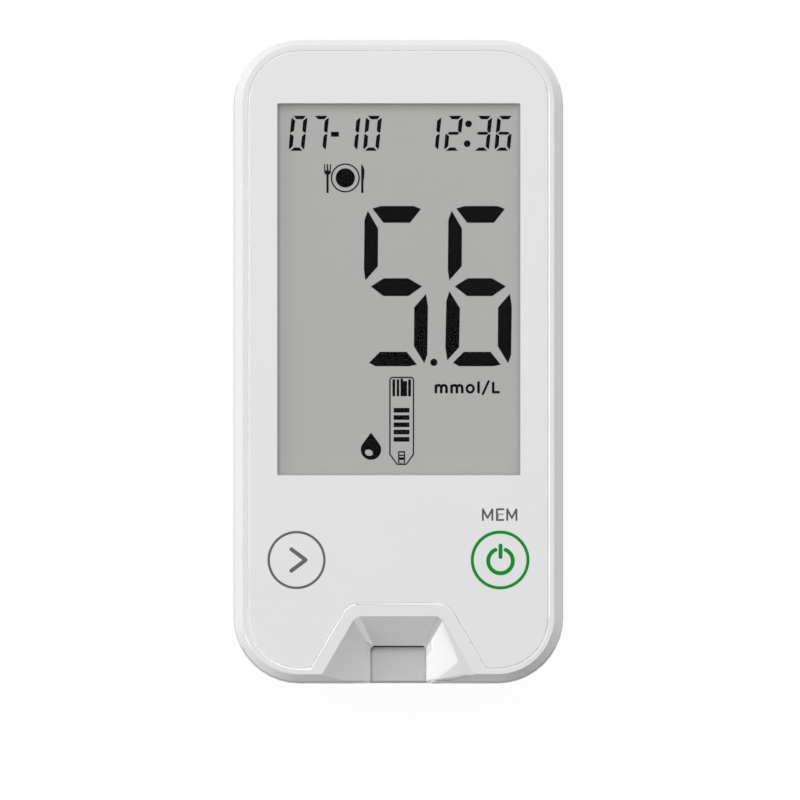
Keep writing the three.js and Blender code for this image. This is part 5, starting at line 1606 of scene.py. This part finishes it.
# %% [markdown]
# Finishes. Moulded plastic is never quite even: the steel of the mould leaves a grain of about a tenth of a
# millimetre, the colour drifts a little over a few centimetres, and hands leave patches that shine more.
# Nearly every material here shares that, so it is one node group. Its inputs set the sizes, and it puts out
# the grain, for the bump and the gloss, the drift, for the colour, the handled patches, for the gloss, and
# the wear, which is strongest on the rounded edges and broken up by the patches.

# %% Shared grain
GRAIN_SCALES = {"Grain Scale": 9000, "Drift Scale": 45, "Patch Scale": 160}
PATCH_RANGE = {"From Min": 0.35, "From Max": 0.65}

grain_group = bpy.data.node_groups.new("moulded_grain", "ShaderNodeTree")
for name, scale in GRAIN_SCALES.items():
    socket = grain_group.interface.new_socket(name, in_out="INPUT", socket_type="NodeSocketFloat")
    socket.default_value = scale
for name in ("Grain", "Drift", "Patches", "Wear"):
    grain_group.interface.new_socket(name, in_out="OUTPUT", socket_type="NodeSocketFloat")
entry = grain_group.nodes.new("NodeGroupInput")
leave = grain_group.nodes.new("NodeGroupOutput")
place = add_node(grain_group, "TexCoord")
noises = {}
for name, detail in (("Grain", 3), ("Drift", 4), ("Patch", 2)):
    noises[name] = add_node(grain_group, "TexNoise", {"Detail": detail})
    link(
        grain_group,
        (place, "Object", noises[name], "Vector"),
        (entry, name + " Scale", noises[name], "Scale"),
    )
patches = add_node(grain_group, "MapRange", PATCH_RANGE)
edge = add_node(grain_group, "Attribute", attribute_name="edge")
broken = add_node(grain_group, "Math", operation="MULTIPLY")
link(
    grain_group,
    (noises["Grain"], "Fac", leave, "Grain"),
    (noises["Drift"], "Fac", leave, "Drift"),
    (noises["Patch"], "Fac", patches, "Value"),
    (patches, "Result", leave, "Patches"),
    (edge, "Fac", broken, 0),
    (patches, "Result", broken, 1),
    (broken, 0, leave, "Wear"),
)
print("shared groups:", [group.name for group in bpy.data.node_groups])

# %% [markdown]
# One function lays out what the opaque finishes have in common: two shades that the drift mixes, a third that
# shows where the edges are worn, a gloss that the grain and the handled patches move a little, and a bump of
# its real depth. What is even over the surface, such as metal or coat, is set on the shader itself.

# %% A grained finish
GRAIN_RANGE = {"From Min": 0.3, "From Max": 0.7}


def grained(
    name, colour, shade, roughness, grain_scale=GRAIN_SCALES["Grain Scale"], depth=0.002, spread=0.06,
    metallic=0.0, coat=0.0, shine=0.5, glow=0.0, worn=None,
):
    """A material whose colour runs from colour to shade (linear) and whose grain is depth millimetres deep.

    worn is the colour of its worn edges.
    """
    material = bpy.data.materials.new(name)
    material.use_nodes = True
    tree = material.node_tree
    shader = tree.nodes["Principled BSDF"]
    shader.inputs["Metallic"].default_value = metallic
    shader.inputs["Coat Weight"].default_value = coat
    shader.inputs["Specular IOR Level"].default_value = shine
    shader.inputs["Emission Color"].default_value = (*colour, 1)
    shader.inputs["Emission Strength"].default_value = glow
    grain = add_node(tree, "Group", node_tree=grain_group)
    grain.inputs["Grain Scale"].default_value = grain_scale
    mix = add_node(tree, "Mix", {"A": (*colour, 1), "B": (*shade, 1)}, data_type="RGBA")
    rubbed = add_node(tree, "Mix", {"B": (*(worn or shade), 1)}, data_type="RGBA")
    gloss_range = {"To Min": roughness - spread / 2, "To Max": roughness + spread / 2}
    gloss = add_node(tree, "MapRange", {**GRAIN_RANGE, **gloss_range})
    handled = add_node(tree, "Math", {1: -spread / 2}, operation="MULTIPLY_ADD")
    polished = add_node(tree, "Math", {1: -spread}, operation="MULTIPLY_ADD")
    bump = add_node(tree, "Bump", {"Distance": depth * MM})
    link(
        tree,
        (grain, "Drift", mix, "Factor"),
        (mix, "Result", rubbed, "A"),
        (grain, "Wear", rubbed, "Factor"),
        (rubbed, "Result", shader, "Base Color"),
        (grain, "Grain", gloss, "Value"),
        (grain, "Patches", handled, 0),
        (gloss, "Result", handled, 2),
        (grain, "Wear", polished, 0),
        (handled, 0, polished, 2),
        (polished, 0, shader, "Roughness"),
        (grain, "Grain", bump, "Height"),
        (bump, "Normal", shader, "Normal"),
    )
    return material


def grey(level_in_picture):
    """A linear grey from its level in the picture, 0 to 255."""
    share = level_in_picture / 255
    value = ((share + 0.055) / 1.055) ** 2.4
    return (value, value, value)


print("level 226 is", round(grey(226)[0], 3), "linear")

# %% [markdown]
# The finishes. Each row gives the two colours, the roughness and what else differs from the usual. A grey is
# given by its level in the picture, any other colour by its linear red, green and blue.

# %% Opaque finishes
FINISHES = {
    "shell_white": (227, 225, 0.36, {"depth": 0.0015}),
    "panel_white": (227, 225, 0.45, {"grain_scale": 14000, "depth": 0.001}),
    "cap_white": (227, 225, 0.42, {"grain_scale": 14000, "depth": 0.001}),
    # Painted shade: the tray in the port is darker than the shell, for the shade of the recess.
    "port_shaded_white": (195, 191, 0.3, {"depth": 0.001}),
    # Painted shade: a grey for faces that turn away from the lamps, at the foot of the bevel and the ends at
    # the mouth of the port.
    "foot_shade_grey": (190, 187, 0.4, {"depth": 0.0015}),
    # Painted highlight: near-white, for the faces of the groove and of the port that should catch the light.
    "painted_highlight_white": (252, 250, 0.3, {"depth": 0.0005}),
    # Painted highlight: the chamfer at the left of the port is lighter than the shell.
    "chamfer_highlight_white": (249, 247, 0.3, {"depth": 0.0005}),
    # Painted shade: the walls of the port are darker than the shell. Their low roughness is real polish.
    "wall_shaded_white": (209, 207, 0.14, {"depth": 0.0005, "spread": 0.03, "shine": 1.0}),
    # Painted highlight: the polished inner part of the right wall is lighter than the rest of the wall. Its low
    # roughness is real polish.
    "patch_highlight_white": (234, 232, 0.14, {"depth": 0.0005, "spread": 0.03}),
    # Painted shade: the outer part of the right wall is darker than the shell.
    "outer_shaded_white": (214, 212, 0.4, {"depth": 0.0005}),
    # Painted shade: a grey for the plate's edge along the notch, darker than the plate.
    "groove_shade_grey": (220, 218, 0.4, {"depth": 0.0005}),
    "back_white": (225, 222, 0.2, {"depth": 0.0005, "spread": 0.03, "shine": 0.7}),
    "ring_grey": (104, 98, 0.5, {"grain_scale": 12000, "shine": 0.1}),
    "ring_green": (
        (0.0005, 0.275, 0.024), (0.0005, 0.255, 0.021), 0.5, {"grain_scale": 12000, "shine": 0.08},
    ),
    "label_grey": (90, 84, 0.5, {"grain_scale": 14000, "shine": 0.1}),
    "segment_black": (10, 8, 0.6, {"grain_scale": 20000, "depth": 0.0005, "shine": 0.0}),
    "crystal_grey": (180, 176, 0.5, {"grain_scale": 16000, "depth": 0.0008}),
    # The front glass of the display glows as painted light, though it is no lamp: a darker colour plus a glow
    # evens out the shade that the window's edge casts on it.
    "crystal_painted_glow": (
        (0.302, 0.300, 0.292), (0.294, 0.292, 0.284), 0.6,
        {"grain_scale": 16000, "depth": 0.0008, "shine": 0.0, "glow": 0.54},
    ),
    "frame_white": (214, 208, 0.5, {}),
    # Real rubber on the zebra strip. On the strips at the slot and round the window, the dark colour is painted
    # shade.
    "rubber": (60, 50, 0.75, {"depth": 0.004}),
    "board_green": ((0.012, 0.105, 0.038), (0.010, 0.085, 0.030), 0.35, {"coat": 0.4}),
    "track_green": ((0.020, 0.160, 0.060), (0.016, 0.140, 0.052), 0.3, {"coat": 0.4}),
    "black_plastic": (38, 30, 0.5, {"depth": 0.004, "worn": grey(62)}),
    "nickel": ((0.60, 0.57, 0.51), (0.53, 0.50, 0.45), 0.26, {"metallic": 1.0, "depth": 0.001}),
    "steel": ((0.52, 0.53, 0.54), (0.45, 0.46, 0.47), 0.3, {"metallic": 1.0, "depth": 0.001}),
    "cell_jacket": ((0.020, 0.035, 0.055), (0.017, 0.030, 0.048), 0.32, {"coat": 0.3}),
    "cell_band": ((0.55, 0.42, 0.25), (0.50, 0.38, 0.22), 0.34, {"coat": 0.3}),
    "cell_words": (232, 226, 0.4, {}),
}


def linear(colour):
    return colour if isinstance(colour, tuple) else grey(colour)


finishes = {}
for name, (colour, shade, roughness, settings) in FINISHES.items():
    finishes[name] = grained(name, linear(colour), linear(shade), roughness, **settings)
print(len(finishes), "opaque finishes")

# %% [markdown]
# The lens is clear. At right angles it shows the display without a veil, and at a low angle it mirrors the
# room. A Fresnel node mixes those two, with a low index, because such a window has a coating against
# reflections. The inner side of each surface stays clear, or light at a low angle would never come out again.

# %% Clear lens
LENS_INDEX = 1.2
LENS_GLOSS = 0.05
LENS_TINT = (0.985, 0.99, 0.99, 1)

lens_clear = bpy.data.materials.new("lens_clear")
lens_clear.use_nodes = True
tree = lens_clear.node_tree
tree.nodes.clear()
output = add_node(tree, "OutputMaterial")
through = add_node(tree, "BsdfTransparent", {"Color": LENS_TINT})
mirror = add_node(tree, "BsdfGlossy", {"Roughness": LENS_GLOSS})
facing = add_node(tree, "Fresnel", {"IOR": LENS_INDEX})
side = add_node(tree, "NewGeometry")
outer = add_node(tree, "Math", operation="SUBTRACT", use_clamp=True)
mix = add_node(tree, "MixShader")
link(
    tree,
    (facing, 0, outer, 0),
    (side, "Backfacing", outer, 1),
    (outer, 0, mix, "Fac"),
    (through, 0, mix, 1),
    (mirror, 0, mix, 2),
    (mix, 0, output, "Surface"),
)
finishes["lens_clear"] = lens_clear
print("the lens mirrors", round(((LENS_INDEX - 1) / (LENS_INDEX + 1)) ** 2 * 100, 1), "% head on")

# %% [markdown]
# Most pieces have one finish. The shell and the plate have more: their narrow faces round the port, the groove
# and the foot of the bevel each get one of their own, and tests on the place and the slope of a face tell
# which. Most of these finishes are painted light: faces that should catch the light are painted lighter as a
# highlight, and faces in shade are painted darker.

# %% Faces with a finish of their own
CHAMFER_ACROSS = (0.25, 0.45)
CHAMFER_AHEAD = -0.42
FOOT_START = SEAM + 0.01
FOOT_AWAY = 0.3
FOOT_SLOPE = (0.03, 0.3)
END_SLOPE = 0.42
END_FACING = -0.4
POCKET_SLOPE = (0.6, 0.97)
LOWER_RIGHT = -38.9
PLATE_SLOPE = (0.3, 0.95)
HOLES_REACH = 21
HOLES_SPAN = (-35.5, 40)
RIGHT_FACING = 0.3
RIGHT_TURN = 0.15
NOTCH_FACING = (-0.2, -0.1)
NOTCH_SPAN = (7, 15)
NOTCH_BELOW = -37
STEEP = 0.72
TRAY_END = -0.7


# The inner part of the right wall gets a painted highlight, its steepest faces the lightest one, and its outer
# part gets painted shade.
def polished_part(part):
    return right_wall(part) and inside_polish(part)


def steep_part(part):
    return polished_part(part) and part.normal.z < STEEP


def outer_part(part):
    return right_wall(part) and not inside_polish(part)


def left_chamfer(part):
    """A face of the chamfer at the left, whose normal points halfway between those of its neighbours. It gets a
    painted highlight.
    """
    across = CHAMFER_ACROSS[0] < part.normal.x < CHAMFER_ACROSS[1]
    return port_wall(part) and across and part.normal.y < CHAMFER_AHEAD


def back_wall(part):
    """The wall of the port behind the slot."""
    return port_wall(part) and facing_mouth(part)


def bevel_foot(part):
    """A face of the round foot of the bevel, away from the lamps, painted grey as shade. It shows widest at the
    strip end.
    """
    centre = place_of(part)
    if centre.z < FOOT_START or part.normal.y > FOOT_AWAY or not near_side(*centre):
        return False
    flattest = END_SLOPE if part.normal.y < END_FACING else FOOT_SLOPE[1]
    return FOOT_SLOPE[0] < part.normal.z < flattest or mouth_end(part)


def pocket_edge(part):
    """A face of the groove round the faceplate, on the side of the shell. It gets a painted highlight."""
    centre = place_of(part)
    lower_right = centre.x > NOTCH_REACH and centre.y < LOWER_RIGHT
    sloping = POCKET_SLOPE[0] < part.normal.z < POCKET_SLOPE[1]
    return sloping and round_pocket(*centre) and not lower_right


def plate_edge(part):
    """A face of the groove on the side of the plate, away from its holes. It gets a painted highlight."""
    centre = place_of(part)
    by_hole = abs(centre.x) < HOLES_REACH and HOLES_SPAN[0] < centre.y < HOLES_SPAN[1]
    right_side = part.normal.x > RIGHT_FACING and abs(part.normal.y) < RIGHT_TURN
    return PLATE_SLOPE[0] < part.normal.z < PLATE_SLOPE[1] and not by_hole and not right_side


def notch_edge(part):
    """A face of the plate's edge along the right side of the notch, where the groove shows no light line. It
    gets painted shade instead of the painted highlight.
    """
    centre = place_of(part)
    along_notch = NOTCH_SPAN[0] < centre.x < NOTCH_SPAN[1] and centre.y < NOTCH_BELOW
    facing_notch = part.normal.x < NOTCH_FACING[0] and part.normal.y < NOTCH_FACING[1]
    return plate_edge(part) and facing_notch and along_notch


# The end face of the tray gets painted shade.
def tray_end(part):
    return part.normal.y < TRAY_END


def dress(piece, finish):
    piece.data.materials.clear()
    piece.data.materials.append(finishes[finish])


def finish_faces(piece, finish, wanted):
    """Gives the wanted faces a finish of their own."""
    piece.data.materials.append(finishes[finish])
    count = select_parts(piece, "FACE", wanted)
    piece.active_material_index = len(piece.data.materials) - 1
    bpy.ops.object.material_slot_assign()
    bpy.ops.object.mode_set(mode="OBJECT")
    return count


print("faces are told apart")

# %% Finishes of the outside
part_finishes = (
    (front_shell, "shell_white", (
        ("wall_shaded_white", port_wall),
        ("patch_highlight_white", polished_part),
        ("painted_highlight_white", steep_part),
        ("outer_shaded_white", outer_part),
        ("back_white", back_wall),
        ("chamfer_highlight_white", left_chamfer),
        ("foot_shade_grey", bevel_foot),
        ("painted_highlight_white", pocket_edge),
    )),
    (rear_shell, "shell_white", ()),
    (door, "shell_white", ()),
    (tray, "port_shaded_white", (("foot_shade_grey", tray_end),)),
    (slot_shade_strip, "rubber", ()),
    (window_shadow_line, "rubber", ()),
    (face_panel, "panel_white", (("painted_highlight_white", plate_edge), ("groove_shade_grey", notch_edge))),
    (window_lens, "lens_clear", ()),
    (memory_label, "label_grey", ()),
    (caps["arrow"], "cap_white", ()),
    (rings["arrow"], "ring_grey", ()),
    (caps["power"], "cap_white", ()),
    (rings["power"], "ring_green", ()),
    (arrow_mark, "ring_grey", ()),
    (power_mark, "ring_green", ()),
    *[(piece, "segment_black", ()) for piece in segments],
)
for piece, finish, special in part_finishes:
    dress(piece, finish)
    for other, wanted in special:
        print(piece.name, finish_faces(piece, other, wanted), "faces", other)

# %% Finishes of the inside
NODE_FINISHES = {
    # The front glass gets the glowing finish, painted light.
    "lcd_front_glass": "crystal_painted_glow",
    "lcd_rear_glass": "crystal_grey",
    "lcd_reflector": "steel",
    "zebra_strip": "rubber",
    "main_board": "board_green",
}


def inner_finish(node):
    if "screw" in node:
        return "steel"
    if "contact" in node or "plate" in node:
        return "nickel"
    return "frame_white" if node == "lcd_frame" else "black_plastic"


for node, piece in inner.items():
    dress(piece, inner_finish(node))
for cell in cells.values():
    dress(cell["can"], "steel")
    dress(cell["sleeve"], "cell_jacket")
    way = cell["way"]
    band_foot = (cell["foot"] + way * (cell["shoulder"] - BAND_LENGTH)) * MM
    finish_faces(cell["sleeve"], "cell_band", lambda part: (part.calc_center_median().y - band_foot) * way > 0)
    for words in cell["words"]:
        dress(words, "cell_words")
for piece in (*springs, *covers.values(), crystal, crystal_leads):
    dress(piece, "steel")
for piece in (*leg_sets, small_tins, pads):
    dress(piece, "nickel")
dress(small_bodies, "black_plastic")
dress(tracks, "track_green")
for node, finish in NODE_FINISHES.items():
    dress(frame["nodes"][node], finish)
print(len(NODE_FINISHES), "CAD nodes dressed")
